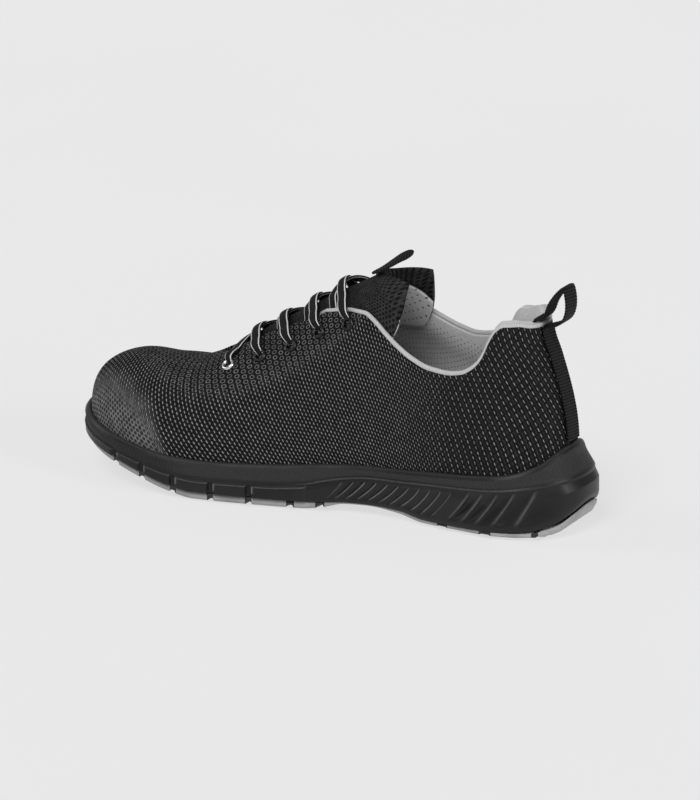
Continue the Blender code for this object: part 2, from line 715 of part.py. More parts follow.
def build_tongue(look):
    shell = Shell()
    shares = np.linspace(-1, 1, 11)
    faces = {0: [], 1: []}
    for k, (middle, wing, wide, fill) in enumerate(TONGUE):
        middle, wing, wide = middle * LAST_LENGTH, wing * LAST_LENGTH, wide * BALL_WIDTH
        grown = k / (len(TONGUE) - 1)
        thick = TONGUE_THIN + (TONGUE_THICK - TONGUE_THIN) * min(max((grown - 0.3) / 0.5, 0), 1)
        if k == len(TONGUE) - 1:
            thick *= 0.6
        for under in (0, 1):
            row = []
            for share in shares:
                x = middle + (wing - middle) * abs(share) ** 2
                thin = 1 - 0.45 * abs(share) ** 4
                y = share * wide
                free = (edge_width(x, 1 if share > 0 else -1) - 0.0035 - abs(y)) / 0.004
                open_here = (THROAT_END - THROAT_ROUND - x) / 0.008
                puff = (WALL + TONGUE_CLEAR - GAP) * fill * min(max(min(free, open_here), 0), 1)
                point, out = over_last(x, y, puff - WALL - TONGUE_CLEAR - (thick * thin if under else 0))
                row.append(point)
            faces[under].append(shell.row(row))
    for rows in faces.values():
        for first, second in zip(rows, rows[1:]):
            shell.band(first, second)
    for k in (0, -1):
        shell.band([row[k] for row in faces[0]], [row[k] for row in faces[1]])
        shell.band(faces[0][k], faces[1][k])
    return shell.finish("tongue", look)


def build_tab(look):
    path = [Vector((x * LAST_LENGTH, 0, z * ANKLE_HEIGHT)) for x, z in TAB_PATH]
    ups = []
    for i in range(len(path)):
        ahead = (path[min(i + 1, len(path) - 1)] - path[max(i - 1, 0)]).normalized()
        out = Vector((0, 1, 0)).cross(ahead).normalized() * -1
        grown = i / (len(path) - 1)
        ups.append(out * np.cos(TAB_ROLL * grown) + Vector((0, 1, 0)) * np.sin(TAB_ROLL * grown))
    return strip("tongue_pull_tab", look, path, ups, TAB_WIDTH, TAB_THICK, round_end=True)


def build_webbing(look):
    """One length of webbing: up the heel's back, round in a loop over the collar and down inside."""
    stand = GAP + WEBBING_THICK / 2 + 0.0004
    path, ups = [], []
    bottom, top = rim(REAR) + 0.002, collar_height(REAR, 1) - 0.001
    for z in np.linspace(bottom, top, 9):
        here = last_point(REAR, 1, turn_at_height(REAR, z))
        above = last_point(REAR, 1, turn_at_height(REAR, z + 0.001))
        rise = (above - here).normalized()
        out = Vector((-rise.z, 0, rise.x)).normalized()
        path.append(Vector((here.x, 0, here.z)) + out * stand)
        ups.append(out)
    for x, z in LOOP:
        path.append(Vector((x * LAST_LENGTH, 0, z * ANKLE_HEIGHT)))
    for i in range(len(ups), len(path)):
        ahead = (path[min(i + 1, len(path) - 1)] - path[i - 1]).normalized()
        ups.append(Vector((-ahead.z, 0, ahead.x)))
    return strip("heel_webbing", look, path, ups, WEBBING_WIDTH, WEBBING_THICK)


def build_eyelet(name, look, x, y):
    base, out = over_last(x, y, GAP)
    aside = out.cross(Vector((1, 0, 0))).normalized()
    ahead = aside.cross(out).normalized()
    shell = Shell()
    profile = ((EYELET_BORE, 0), (EYELET_BORE, EYELET_HEIGHT * 0.8), ((EYELET_BORE + EYELET_OUTER) / 2, EYELET_HEIGHT), (EYELET_OUTER, EYELET_HEIGHT * 0.4), (EYELET_OUTER, 0))
    loops = []
    for turn in np.linspace(0, 2 * np.pi, 12, endpoint=False):
        way = aside * np.cos(turn) + ahead * np.sin(turn)
        loops.append(shell.row([base + way * r + out * h for r, h in profile]))
    for i in range(len(loops)):
        shell.band(loops[i - 1], loops[i], closed=True)
    return shell.finish(name, look)


def lace_run(name, look, start, end, lift):
    """A lace from the tongue at one flap's edge, over the crest, to the top of an eyelet opposite."""
    path, ups = [], []
    (x0, y0), (x1, y1) = start, end
    for t in np.linspace(0, 1, 11):
        x, y = x0 + (x1 - x0) * t**LACE_BEND, y0 + (y1 - y0) * t
        height = LACE_THICK / 2 + 2 * GAP + lift * np.sin(np.pi * t)
        for share, across_y in ((t, y1), (1 - t, y0)):
            if abs(across_y) > THROAT_HALF:
                height += (EYELET_HEIGHT + GAP) * min(max((share - 0.6) / 0.2, 0), 1)
        point, out = over_last(x, y, height)
        path.append(point)
        ups.append(out)
    return strip(name, look, path, ups, LACE_WIDTH, LACE_THICK)


def join(first, second):
    union = first.modifiers.new("union", "BOOLEAN")
    union.operation = "UNION"
    union.solver = "EXACT"
    union.object = second
    second.hide_render = True
    second.display_type = "WIRE"


def main():
    for old in list(bpy.data.objects):
        bpy.data.objects.remove(old)
    knit = material("black knit", (0.02, 0.02, 0.022), 0.8)
    pale = material("pale grey lining", (0.42, 0.42, 0.42), 0.75)
    black = material("black foam rubber", (0.012, 0.012, 0.012), 0.45)
    grey = material("grey rubber", (0.30, 0.30, 0.30), 0.55)
    mesh = material("black tongue mesh", (0.012, 0.012, 0.013), 0.85)
    web = material("black webbing", (0.01, 0.01, 0.01), 0.8)
    steel = material("bright eyelet", (0.7, 0.7, 0.7), 0.3, 1.0)
    gunmetal = material("dark eyelet", (0.03, 0.03, 0.03), 0.35, 1.0)
    cord = material("lace", (0.03, 0.03, 0.03), 0.8)
    build_outsole(grey)
    build_midsole(black)
    build_insole(pale)
    build_upper(knit)
    build_binding(pale)
    build_tongue(mesh)
    build_tab(web)
    build_webbing(web)
    places = [(x * LAST_LENGTH, y * BALL_WIDTH) for x, y in EYELETS]
    for k, (x, y) in enumerate(places):
        for label, side in (("medial", 1), ("lateral", -1)):
            build_eyelet(f"eyelet_{label}_{k + 1}", steel if k == 0 else gunmetal, x, side * y)
    first_x, first_y = places[0]
    lace_run("lace_bar", cord, (first_x, -first_y), (first_x, first_y), 0.0002)
    for k in range(len(places) - 1):
        x0, (x1, y1) = places[k][0] - LACE_BACK[k], places[k + 1]
        inside = edge_width(x0, 1) - LACE_UNDER
        over = lace_run(f"lace_cross_{k + 1}", cord, (x0, -inside), (x1, y1), 0.0008)
        under = lace_run(f"lace_cross_{k + 1}_under", cord, (x0, inside), (x1, -y1), 0.0001)
        join(over, under)


main()
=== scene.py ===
"""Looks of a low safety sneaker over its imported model: knit upper, padded lining, rubber sole,
laces, eyelets, floor and light. Metres, +X to the toe, +Y to the wearer's left, +Z up."""

import math

import bmesh
import bpy
import numpy as np
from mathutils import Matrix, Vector

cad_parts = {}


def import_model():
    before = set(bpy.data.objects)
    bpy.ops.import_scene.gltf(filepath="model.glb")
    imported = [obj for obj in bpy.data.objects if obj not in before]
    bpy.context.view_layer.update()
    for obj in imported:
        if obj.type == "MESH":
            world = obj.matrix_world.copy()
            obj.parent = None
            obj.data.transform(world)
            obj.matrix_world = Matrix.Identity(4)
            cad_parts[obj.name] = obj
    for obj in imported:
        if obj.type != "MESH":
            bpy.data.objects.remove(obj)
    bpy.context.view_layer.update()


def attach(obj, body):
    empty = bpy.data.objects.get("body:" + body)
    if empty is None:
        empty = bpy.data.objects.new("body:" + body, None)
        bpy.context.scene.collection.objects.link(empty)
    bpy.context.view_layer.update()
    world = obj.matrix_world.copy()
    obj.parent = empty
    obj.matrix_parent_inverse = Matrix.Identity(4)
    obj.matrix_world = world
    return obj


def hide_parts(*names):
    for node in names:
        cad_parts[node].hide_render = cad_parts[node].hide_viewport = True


# The part's driving sizes.
LAST_LENGTH = 0.286
BALL_WIDTH = 0.097
ANKLE_HEIGHT = 0.150
SEAT_HEIGHT = 0.030
REAR = 0.0395 * LAST_LENGTH
ORIGIN_X = 0.1993 * LAST_LENGTH
HEEL_ROUND = 0.119 * LAST_LENGTH
TOE_ROUND = 0.248 * LAST_LENGTH
TOE_DROP = 0.224 * LAST_LENGTH
WALL = 0.0022
GAP = 0.0003
TUCK = 0.003
INSOLE = 0.004
TONGUE_THIN = 0.0026
TONGUE_THICK = 0.0050
TONGUE_CLEAR = 0.0009
BINDING_WIDTH = 0.0027
BINDING_HEIGHT = 0.0024
LIP = 0.0022
# Steps between the columns of points of each piece, in metres.
KNIT_STEP = 0.0010
LINING_STEP = 0.0015
BINDING_STEP = 0.0012
MIDSOLE_STEP = 0.00055
TREAD_STEP = 0.0007
INSOLE_STEP = 0.003
# Between these stations, columns of points are evenly spaced.
HEEL_END = 0.040
TOE_START = 0.262

# The last: stations are shares of LAST_LENGTH, centre and half of BALL_WIDTH, feather of
# SEAT_HEIGHT, crest of ANKLE_HEIGHT.
LAST = (
    # station centre half feather crest across up
    (0.000, 0.000, 0.345, 0.97, 1.000, 2.10, 2.20),
    (0.105, 0.000, 0.345, 0.95, 1.000, 2.10, 2.20),
    (0.160, 0.000, 0.345, 0.93, 0.993, 2.10, 2.20),
    (0.260, -0.015, 0.345, 0.87, 0.980, 2.25, 2.10),
    (0.335, -0.030, 0.347, 0.82, 0.933, 2.20, 2.05),
    (0.420, -0.038, 0.366, 0.77, 0.845, 2.00, 1.95),
    (0.500, -0.041, 0.410, 0.72, 0.752, 1.85, 1.85),
    (0.575, -0.031, 0.448, 0.69, 0.655, 1.75, 1.75),
    (0.630, -0.022, 0.475, 0.67, 0.593, 1.75, 1.75),
    (0.680, -0.010, 0.492, 0.65, 0.535, 1.80, 1.80),
    (0.770, 0.015, 0.500, 0.67, 0.435, 2.00, 2.10),
    (0.810, 0.027, 0.500, 0.71, 0.412, 2.05, 2.20),
    (0.860, 0.042, 0.500, 0.78, 0.410, 2.15, 2.30),
    (0.930, 0.062, 0.500, 0.95, 0.438, 2.20, 2.40),
    (1.000, 0.078, 0.500, 1.12, 0.455, 2.20, 2.40),
)

LEAN_REACH = 0.3846 * LAST_LENGTH
LEAN = (
    # height (share of ANKLE_HEIGHT), forward (share of LAST_LENGTH)
    (0.00, 0.006),
    (0.12, 0.001),
    (0.18, 0.004),
    (0.26, 0.013),
    (0.34, 0.027),
    (0.42, 0.0435),
    (0.49, 0.0595),
    (0.55, 0.064),
    (0.70, 0.072),
)

COLLAR_FRONT = 0.5175 * LAST_LENGTH
FLAP_EASE = 0.1224 * LAST_LENGTH
THROAT_END = 0.7483 * LAST_LENGTH
THROAT_HALF = 0.0115
THROAT_ROUND = 0.012
COLLAR = (
    # station (share of LAST_LENGTH), medial and lateral height (shares of ANKLE_HEIGHT)
    (0.033, 0.708, 0.708),
    (0.050, 0.716, 0.716),
    (0.072, 0.728, 0.728),
    (0.097, 0.728, 0.718),
    (0.114, 0.712, 0.706),
    (0.127, 0.680, 0.704),
    (0.141, 0.640, 0.702),
    (0.157, 0.604, 0.690),
    (0.177, 0.574, 0.650),
    (0.202, 0.552, 0.612),
    (0.235, 0.543, 0.584),
    (0.275, 0.548, 0.574),
    (0.312, 0.568, 0.588),
    (0.347, 0.600, 0.613),
    (0.379, 0.638, 0.643),
    (0.406, 0.672, 0.672),
    (0.430, 0.690, 0.690),
    (0.455, 0.690, 0.690),
    (0.518, 0.667, 0.667),
)

# The sole: stations are shares of LAST_LENGTH, heights of SEAT_HEIGHT, flare of BALL_WIDTH.
SOLE = (
    # station ground foot floor divide rim flare
    (-0.030, 0.78, 0.90, 0.90, 1.12, 1.65, 0.150),
    (-0.012, 0.62, 0.74, 0.76, 1.10, 1.64, 0.150),
    (0.008, 0.34, 0.48, 0.66, 1.07, 1.62, 0.150),
    (0.032, 0.10, 0.28, 0.62, 1.04, 1.57, 0.145),
    (0.070, 0.00, 0.18, 0.60, 0.96, 1.28, 0.088),
    (0.120, 0.00, 0.16, 0.60, 0.88, 1.12, 0.056),
    (0.280, 0.00, 0.15, 0.58, 0.76, 0.96, 0.036),
    (0.330, 0.08, 0.19, 0.55, 0.72, 0.92, 0.026),
    (0.390, 0.16, 0.21, 0.52, 0.70, 0.90, 0.024),
    (0.440, 0.15, 0.20, 0.50, 0.64, 0.87, 0.030),
    (0.480, 0.05, 0.14, 0.46, 0.56, 0.84, 0.038),
    (0.518, 0.00, 0.12, 0.42, 0.47, 0.80, 0.044),
    (0.600, 0.00, 0.12, 0.37, 0.41, 0.74, 0.050),
    (0.718, 0.00, 0.12, 0.36, 0.40, 0.70, 0.050),
    (0.770, 0.09, 0.20, 0.42, 0.46, 0.72, 0.048),
    (0.840, 0.28, 0.39, 0.57, 0.61, 0.82, 0.040),
    (0.930, 0.51, 0.62, 0.79, 0.81, 1.00, 0.030),
    (1.000, 0.68, 0.78, 0.95, 0.96, 1.16, 0.020),
    (1.030, 0.78, 0.88, 1.05, 1.04, 1.22, 0.018),
)
NOTCHES = [share * LAST_LENGTH for share in (0.6164, 0.6874, 0.7611, 0.8233, 0.8825)]
BLOCKS_FROM = 0.5120 * LAST_LENGTH
NOTCH = 0.0030
BLOCK_OUT = 0.0012
NOTCH_IN = 0.0012
# First and last flute as shares of LAST_LENGTH, and how many there are.
ARCH_RIBS = (0.2238, 0.4301, 10)
HEEL_RIBS = (0.0664, 0.1713, 5)
ARCH_RIB_IN = 0.0015
HEEL_RIB_IN = 0.0024
SLANT = (
    # station, lower end ahead by (shares of LAST_LENGTH)
    (0.0000, 0.0000),
    (0.0420, 0.0000),
    (0.0664, 0.0350),
    (0.1049, 0.0520),
    (0.1713, 0.0560),
    (0.2238, 0.0559),
    (0.3497, 0.0524),
    (0.4301, 0.0420),
    (0.5245, 0.0000),
    (1.0490, 0.0000),
)
TREAD_INSET = 0.0010
TREAD_DEPTH = 0.0022
TREAD_SHOWN = 0.0010
EDGE_RISE = 0.0027
EDGE_SHARE = 0.80
GROOVES = (
    # station (share of LAST_LENGTH), width
    (0.0745, 0.0016),
    (0.1470, 0.0056),
    (0.2360, 0.0056),
    (0.4850, 0.0040),
    (0.5403, 0.0036),
    (0.6164, 0.0032),
    (0.6874, 0.0032),
    (0.7611, 0.0032),
    (0.8233, 0.0032),
    (0.8825, 0.0032),
)
# Half the width of the tread's middle channel, as a share of the tread's half.
CHANNEL = 0.10

TONGUE = (
    # middle, wing (shares of LAST_LENGTH), half (share of BALL_WIDTH), fill of the throat's opening
    (0.7832, 0.7727, 0.1031, 1.0),
    (0.7413, 0.7203, 0.1546, 1.0),
    (0.6818, 0.6469, 0.2010, 1.0),
    (0.6119, 0.5664, 0.2371, 1.0),
    (0.5524, 0.4895, 0.2629, 0.8),
    (0.5070, 0.4266, 0.2804, 0.4),
    (0.4755, 0.3881, 0.2866, 0.1),
    (0.4528, 0.3671, 0.2701, 0.0),
    (0.4308, 0.3514, 0.2320, 0.0),
)
TAB_WIDTH = 0.012
TAB_THICK = 0.0016
# The tab and the heel's loop: stations as shares of LAST_LENGTH, heights of ANKLE_HEIGHT.
TAB_PATH = (
    (0.4360, 0.8160), (0.4230, 0.8300), (0.4050, 0.8530), (0.3830, 0.8810), (0.3610, 0.9020),
)
TAB_ROLL = -0.45
WEBBING_WIDTH = 0.013
WEBBING_THICK = 0.0013
LOOP = (
    (0.0752, 0.7173), (0.0612, 0.7307), (0.0497, 0.7507), (0.0441, 0.7853), (0.0448, 0.8267),
    (0.0510, 0.8593), (0.0647, 0.8373), (0.0780, 0.8000), (0.0860, 0.7613), (0.0944, 0.7430),
    (0.1056, 0.7367), (0.1120, 0.7100),
)
EYELET_OUTER = 0.0037
EYELET_BORE = 0.0019
EYELET_HEIGHT = 0.0011
# Station (share of LAST_LENGTH) and distance from the middle (share of BALL_WIDTH), toe end first.
EYELETS = ((0.6972, 0.2526), (0.6329, 0.2526), (0.5727, 0.2423), (0.5182, 0.2330), (0.4587, 0.2351))
LACE_WIDTH = 0.0060
LACE_THICK = 0.0014
# How far behind the eyelets before it each crossing comes out, in metres.
LACE_BACK = (0.0063, 0.0025, 0.0025, 0.0025)
LACE_BEND = 2.2
LACE_RISE = EYELET_HEIGHT + 0.0006
EYELET_DIVE = 0.0050
FLAP_DIVE = 0.0042
LACE_PUFF = 1.25

# The cloth's grain: column pitch and how far a column runs back for each metre down, at the crest
# and 60 mm below it.
GRAIN_DOWN = 0.060
GRAIN = (
    # station  pitch  slant at crest  slant below
    (0.00, 0.0015, 0.30, 0.30),
    (0.25, 0.0016, 0.32, 0.34),
    (0.40, 0.0017, 0.42, 0.45),
    (0.60, 0.0018, 0.40, 0.52),
    (0.75, 0.0018, 0.18, 0.50),
    (0.87, 0.0016, 0.00, 0.42),
    (1.00, 0.0014, 0.00, 0.30),
)
ROW_PITCH = 0.0027
CREST_ROWS = 3.8
CREST_REACH = 0.035
# Where the stitch is an open ring, and where the cloth is an open net: distances below the crest.
STITCH = (
    # station  rings to  rings gone by  net from  net full by
    (0.00, -0.020, 0.000, 0.200, 0.210),
    (0.30, -0.020, 0.000, 0.200, 0.210),
    (0.40, 0.000, 0.040, 0.200, 0.210),
    (0.50, 0.026, 0.055, 0.200, 0.210),
    (0.65, 0.026, 0.060, 0.150, 0.160),
    (0.76, 0.010, 0.055, 0.080, 0.090),
    (0.83, 0.000, 0.040, 0.036, 0.064),
    (0.92, -0.010, 0.015, 0.018, 0.044),
    (1.00, -0.020, 0.000, 0.010, 0.034),
)
# Soft troughs and ridges of the upper: middle (station share, turn share), reach along, reach
# around, slant and depth in metres.
CREASES = (
    (0.735, 0.62, 0.0055, 0.30, 0.10, -0.0005),
    (0.772, 0.55, 0.0070, 0.34, 0.12, -0.0007),
    (0.690, 0.45, 0.0070, 0.25, 0.10, -0.0004),
    (0.330, 0.40, 0.0140, 0.35, -0.10, -0.0006),
    (0.450, 0.70, 0.0100, 0.22, -0.15, 0.0004),
    (0.150, 0.75, 0.0120, 0.25, 0.05, -0.0004),
)

# The upper's tucked rows, from the floor up to the feather line, and its layers as shares of the
# solid's wall.
FOOT_ROWS = (1.0, 0.55)
KNIT_SHARE = 0.55
LINING_SHARE = 0.58
LINING_THICK = 0.45 * WALL
LINING_END = 0.2050
PAD_COLLAR = 0.0022
PAD_HEEL = 0.0045
HEEL_LIFT = 0.0030
HOLE_PITCH = 0.0021
HOLE_ROWS = 0.0030
BINDING_END = 0.1515
# A point inside the collar, which tells the binding which way is out.
INSIDE_POINT = (0.08, 0, 0.09)
BINDING_SECTION = (
    (-1, -1.0), (-1.06, 0), (-0.95, 0.5), (-0.6, 0.88), (0, 1.0),
    (0.6, 0.88), (0.95, 0.5), (1.04, 0), (0.95, -0.8), (0, -0.9),
)
WEBBING_RIB = 0.0016

# How far out the midsole's side lies at shares of its height, as shares of the flare, and how
# much further at the heel.
SIDE_LEVELS = (0, 0.28, 0.78, 1.0)
SIDE_REACH = (0.62, 0.82, 0.98, 1.0)
HEEL_REACH = (0.16, 0.20, 0.04, -0.05)
LIP_STEP = 0.0012
LEDGE = 0.0007
BELT_ROWS = 25
TOE_RIB_PITCH = 1.9
TOE_RIB_OUT = 0.00030


def curve(table, column):
    """A smooth curve through a table's rows that never overshoots them, for arrays of stations."""
    rows = np.array(table, float)
    at, value = rows[:, 0], rows[:, column]
    step = np.diff(at)
    slope = np.diff(value) / step
    grade = np.zeros(len(value))
    same = slope[:-1] * slope[1:] > 0
    grade[1:-1][same] = 2 * slope[:-1][same] * slope[1:][same] / (slope[:-1] + slope[1:])[same]
    grade[0], grade[-1] = slope[0], slope[-1]

    def follow(x):
        x = np.clip(x, at[0], at[-1])
        i = np.clip(np.searchsorted(at, x) - 1, 0, len(step) - 1)
        t = (x - at[i]) / step[i]
        return (
            value[i] * (1 + 2 * t) * (1 - t) ** 2
            + value[i + 1] * t * t * (3 - 2 * t)
            + step[i] * (grade[i] * t * (1 - t) ** 2 - grade[i + 1] * t * t * (1 - t))
        )

    return follow


def on_last(table, column, size):
    """A table's column as a function of the station in metres, times a driving size."""
    follow = curve(table, column)
    return lambda x: follow(np.asarray(x) / LAST_LENGTH) * size


centre, half_width, feather, crest_height, across, up = (
    on_last(LAST, k + 1, size)
    for k, size in enumerate((BALL_WIDTH, BALL_WIDTH, SEAT_HEIGHT, ANKLE_HEIGHT, 1, 1))
)
ground, seam, floor, divide, rim, flare = (
    on_last(SOLE, k + 1, size) for k, size in enumerate((SEAT_HEIGHT,) * 5 + (BALL_WIDTH,))
)
collar_heights = {1: on_last(COLLAR, 1, ANKLE_HEIGHT), -1: on_last(COLLAR, 2, ANKLE_HEIGHT)}
slant = on_last(SLANT, 1, LAST_LENGTH)
lean_at = curve(LEAN, 1)
grain_pitch, grain_top, grain_low = (on_last(GRAIN, k, 1) for k in (1, 2, 3))
ring_to, ring_gone, net_from, net_full = (on_last(STITCH, k, 1) for k in (1, 2, 3, 4))


def unit(v):
    return v / np.maximum(np.linalg.norm(v, axis=-1, keepdims=True), 1e-12)


def ease(t):
    t = np.clip(t, 0, 1)
    return t * t * (3 - 2 * t)


def foot(x):
    """Height of the seam between foam and tread: the tread shows a little more under the blocks
    and a little less under the heel."""
    share = x / LAST_LENGTH
    blocks = ease((share - 0.44) / 0.04) * ease((0.95 - share) / 0.08)
    return seam(x) + TREAD_SHOWN * (blocks - ease((0.34 - share) / 0.08))


def half(x):
    """Half the last's width at a station, rounded off at the heel and the toe."""
    heel = np.clip((x - REAR) / HEEL_ROUND, 0, 1)
    toe = np.clip(1 - (LAST_LENGTH - x) / TOE_ROUND, 0, 1)
    return half_width(x) * (1 - (1 - heel) ** 2.2) ** (1 / 2.1) * (1 - toe**2.3) ** (1 / 2.1)


def crest(x):
    """Height of the last's crest, dropping at the toe."""
    toe = np.clip(1 - (LAST_LENGTH - x) / TOE_DROP, 0, 1)
    return feather(x) + (crest_height(x) - feather(x)) * (1 - toe**3.4) ** (1 / 2.8)


def lean(x, z):
    """How far forward the heel's back leans at a height."""
    share = np.clip(1 - x / LEAN_REACH, 0, 1) ** 1.5
    return lean_at((z - feather(x)) / ANKLE_HEIGHT) * LAST_LENGTH * share


def last_points(x, side, turn):
    """Points of the last: turn runs from 0 at the feather line to a quarter circle at the crest."""
    rise = np.sin(turn) ** (2 / up(x))
    out = np.clip(np.cos(turn), 0, 1) ** (2 / across(x))
    z = feather(x) + (crest(x) - feather(x)) * rise
    return np.stack([x + lean(x, z), centre(x) + side * half(x) * out, z], axis=-1)


def turn_at_height(x, z):
    rise = (z - feather(x)) / np.maximum(crest(x) - feather(x), 1e-9)
    return np.arcsin(np.clip(rise, 0, 1) ** (up(x) / 2))


def turn_at_width(x, y):
    return np.arccos(np.clip(np.abs(y) / np.maximum(half(x), 1e-9), 0, 1) ** (across(x) / 2))


def edge_turn(x, side):
    """Where the upper's section ends: at the collar, at the throat's edge, or closed over the crest."""
    collar = turn_at_height(x, collar_heights[side](x))
    front = turn_at_height(COLLAR_FRONT, collar_heights[side](COLLAR_FRONT))
    start = half(COLLAR_FRONT) * np.cos(front) ** (2 / across(COLLAR_FRONT))
    width = start + (THROAT_HALF - start) * ease((x - COLLAR_FRONT) / FLAP_EASE)
    near_end = np.clip((x - (THROAT_END - THROAT_ROUND)) / THROAT_ROUND, 0, 1)
    throat = turn_at_width(x, width * (1 - near_end**2) ** 0.5)
    return np.where(x <= COLLAR_FRONT, collar, np.where(x >= THROAT_END, np.pi / 2, throat))


def edge_width(x, side):
    return half(x) * np.clip(np.cos(edge_turn(x, side)), 0, 1) ** (2 / across(x))


def over_last(x, y, height):
    """Points over the last's crest side, y from the centre line, and the ways out from it there."""
    x, y, height = np.broadcast_arrays(*(np.asarray(value, float) for value in (x, y, height)))

    def at(x, y):
        return last_points(x, np.where(y >= 0, 1, -1), turn_at_width(x, y))

    along = at(x + 0.002, y) - at(x - 0.002, y)
    aside = at(x, y + 0.001) - at(x, y - 0.001)
    out = unit(np.cross(along, aside))
    return at(x, y) + out * height[..., None], out


def spread(first, last, count, ease_first):
    """Stations that close up towards the first one, or towards the last one."""
    t = np.pi / 2 * np.linspace(0, 1, count)
    return list(first + (last - first) * (1 - np.cos(t) if ease_first else np.sin(t)))


def fine_stations(step, last=LAST_LENGTH):
    """Stations a step apart, closing up towards the heel's and the toe's rounded ends."""
    stations = spread(REAR, HEEL_END, round(0.045 / step), True)
    stations += list(np.arange(HEEL_END + step, THROAT_END - step / 2, step)) + [THROAT_END]
    stations += list(np.arange(THROAT_END + step, TOE_START, step))
    stations += spread(TOE_START + step / 2, LAST_LENGTH, round(0.040 / step), False)
    return np.array([x for x in stations if x <= last])


# Mesh code.

MERGE = 2e-6


def run_along(path):
    """Distance along a path of points, 0 at its start."""
    return np.concatenate([[0], np.cumsum(np.linalg.norm(np.diff(path, axis=0), axis=1))])


def below_last_row(points):
    """Distance down each column of a table of points, 0 at its last row."""
    steps = np.linalg.norm(np.diff(points, axis=0), axis=-1)
    return np.concatenate([np.cumsum(steps[::-1], axis=0)[::-1], np.zeros((1, points.shape[1]))])


def side_view(table):
    """Points in the middle plane from stations and heights given as shares."""
    return [(x * LAST_LENGTH, 0, z * ANKLE_HEIGHT) for x, z in table]


def link(name, data):
    made = bpy.data.objects.new(name, data)
    bpy.context.scene.collection.objects.link(made)
    return made


class Mesh:
    """Collects tables of points with their cloth coordinates, and the faces between them."""

    def __init__(self):
        self.points, self.faces, self.layers, self.count = [], [], {}, 0

    def table(self, points, **layers):
        """Add points, and return their vertex numbers in the same layout."""
        points = np.asarray(points, float)
        shape = points.shape[:-1]
        index = np.arange(self.count, self.count + int(np.prod(shape))).reshape(shape)
        self.points.append(points.reshape(-1, 3))
        for name, values in layers.items():
            block = np.stack([np.broadcast_to(v, shape) for v in values], -1).reshape(-1, 2)
            self.layers.setdefault(name, []).append((self.count, block))
        self.count += index.size
        return index

    def quads(self, index, flip=False):
        """Faces between the neighbouring rows of a table of vertex numbers."""
        index = np.asarray(index)
        corners = [index[:-1, :-1], index[:-1, 1:], index[1:, 1:], index[1:, :-1]]
        if flip:
            corners.reverse()
        self.faces += np.stack(corners, -1).reshape(-1, 4).tolist()

    def finish(self, name, look):
        """Make the object, with the part's own origin, and let it ride on the part's root."""
        data = bpy.data.meshes.new(name)
        points = np.concatenate(self.points)
        points[:, 0] -= ORIGIN_X
        data.from_pydata(points.tolist(), [], self.faces)
        corner = np.empty(len(data.loops), np.int32)
        data.loops.foreach_get("vertex_index", corner)
        for layer, kept in self.layers.items():
            values = np.zeros((self.count, 2))
            for start, block in kept:
                values[start : start + len(block)] = block
            made = data.uv_layers.new(name=layer)
            made.data.foreach_set("uv", values[corner].reshape(-1))
        work = bmesh.new()
        work.from_mesh(data)
        bmesh.ops.remove_doubles(work, verts=work.verts, dist=MERGE)
        bmesh.ops.dissolve_degenerate(work, edges=work.edges, dist=MERGE / 20)
        bmesh.ops.recalc_face_normals(work, faces=work.faces)
        work.to_mesh(data)
        work.free()
        data.polygons.foreach_set("use_smooth", [True] * len(data.polygons))
        data.materials.append(look.material)
        made = link(name, data)
        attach(made, "root")
        return made


def around(sides):
    """Both sides' tables of points, rows up and stations along, as one table that runs from the toe
    along the medial side, round the heel and back along the lateral side."""
    near, far = sides
    return np.concatenate([near[:, ::-1], far[:, 1:]], axis=1)


def round_heel(near, far):
    """The same for single rows."""
    return np.concatenate([near[::-1], far[1:]])


def ways_out(table):
    """Outward normals of a table that around() made: its first and last columns are one at the toe."""
    along = np.empty_like(table)
    along[:, 1:-1] = table[:, 2:] - table[:, :-2]
    along[:, 0] = along[:, -1] = table[:, 1] - table[:, -2]
    rise = np.gradient(table, axis=0)
    return unit(np.cross(along, rise))


def band(mesh, path, aside, out, corners, wide, thick, across_cloth):
    """A tube with closed ends along a path: corners are its section's points as shares of half the
    width along aside and of half the thickness along out."""
    half_wide, half_thick = (np.broadcast_to(size, len(path))[:, None, None] / 2 for size in (wide, thick))
    loops = (
        path[:, None]
        + aside[:, None] * corners[None, :, 0, None] * half_wide
        + out[:, None] * corners[None, :, 1, None] * half_thick
    )
    closed = np.concatenate([loops, loops[:, :1]], axis=1)
    index = mesh.table(closed, cloth=(run_along(path)[:, None] * 1000, across_cloth[None, :]))
    mesh.quads(index)
    mesh.faces += [index[0, :-1].tolist(), index[-1, :-1][::-1].tolist()]


def sweep(mesh, path, ups, corners, wide, thick):
    """A band along a path, ups being the way out of its upper face at each point."""
    ahead = unit(np.gradient(path, axis=0))
    aside = unit(np.cross(ahead, ups))
    out = unit(np.cross(aside, ahead))
    band(mesh, path, aside, out, corners, wide, thick, np.append(corners[:, 0], corners[0, 0]))


def rounded(count, power):
    """Corners of a rounded flat section."""
    turns = np.linspace(0, 2 * np.pi, count, endpoint=False)
    ways = np.stack([np.cos(turns), np.sin(turns)], -1)
    return np.sign(ways) * np.abs(ways) ** (2 / power)


def through(points, count):
    """A smooth run of points through a few chosen ones."""
    points = np.asarray(points, float)
    padded = np.concatenate([[2 * points[0] - points[1]], points, [2 * points[-1] - points[-2]]])
    t = np.linspace(0, len(points) - 1, count)
    i = np.clip(t.astype(int), 0, len(points) - 2)
    f = (t - i).reshape((-1,) + (1,) * (points.ndim - 1))
    a, b, c, d = (padded[i + k] for k in range(4))
    bend = (2 * a - 5 * b + 4 * c - d) * f**2 + (3 * b - a - 3 * c + d) * f**3
    return 0.5 * (2 * b + (c - a) * f + bend)


# Materials.

FINE_FIBRE = 2600.0


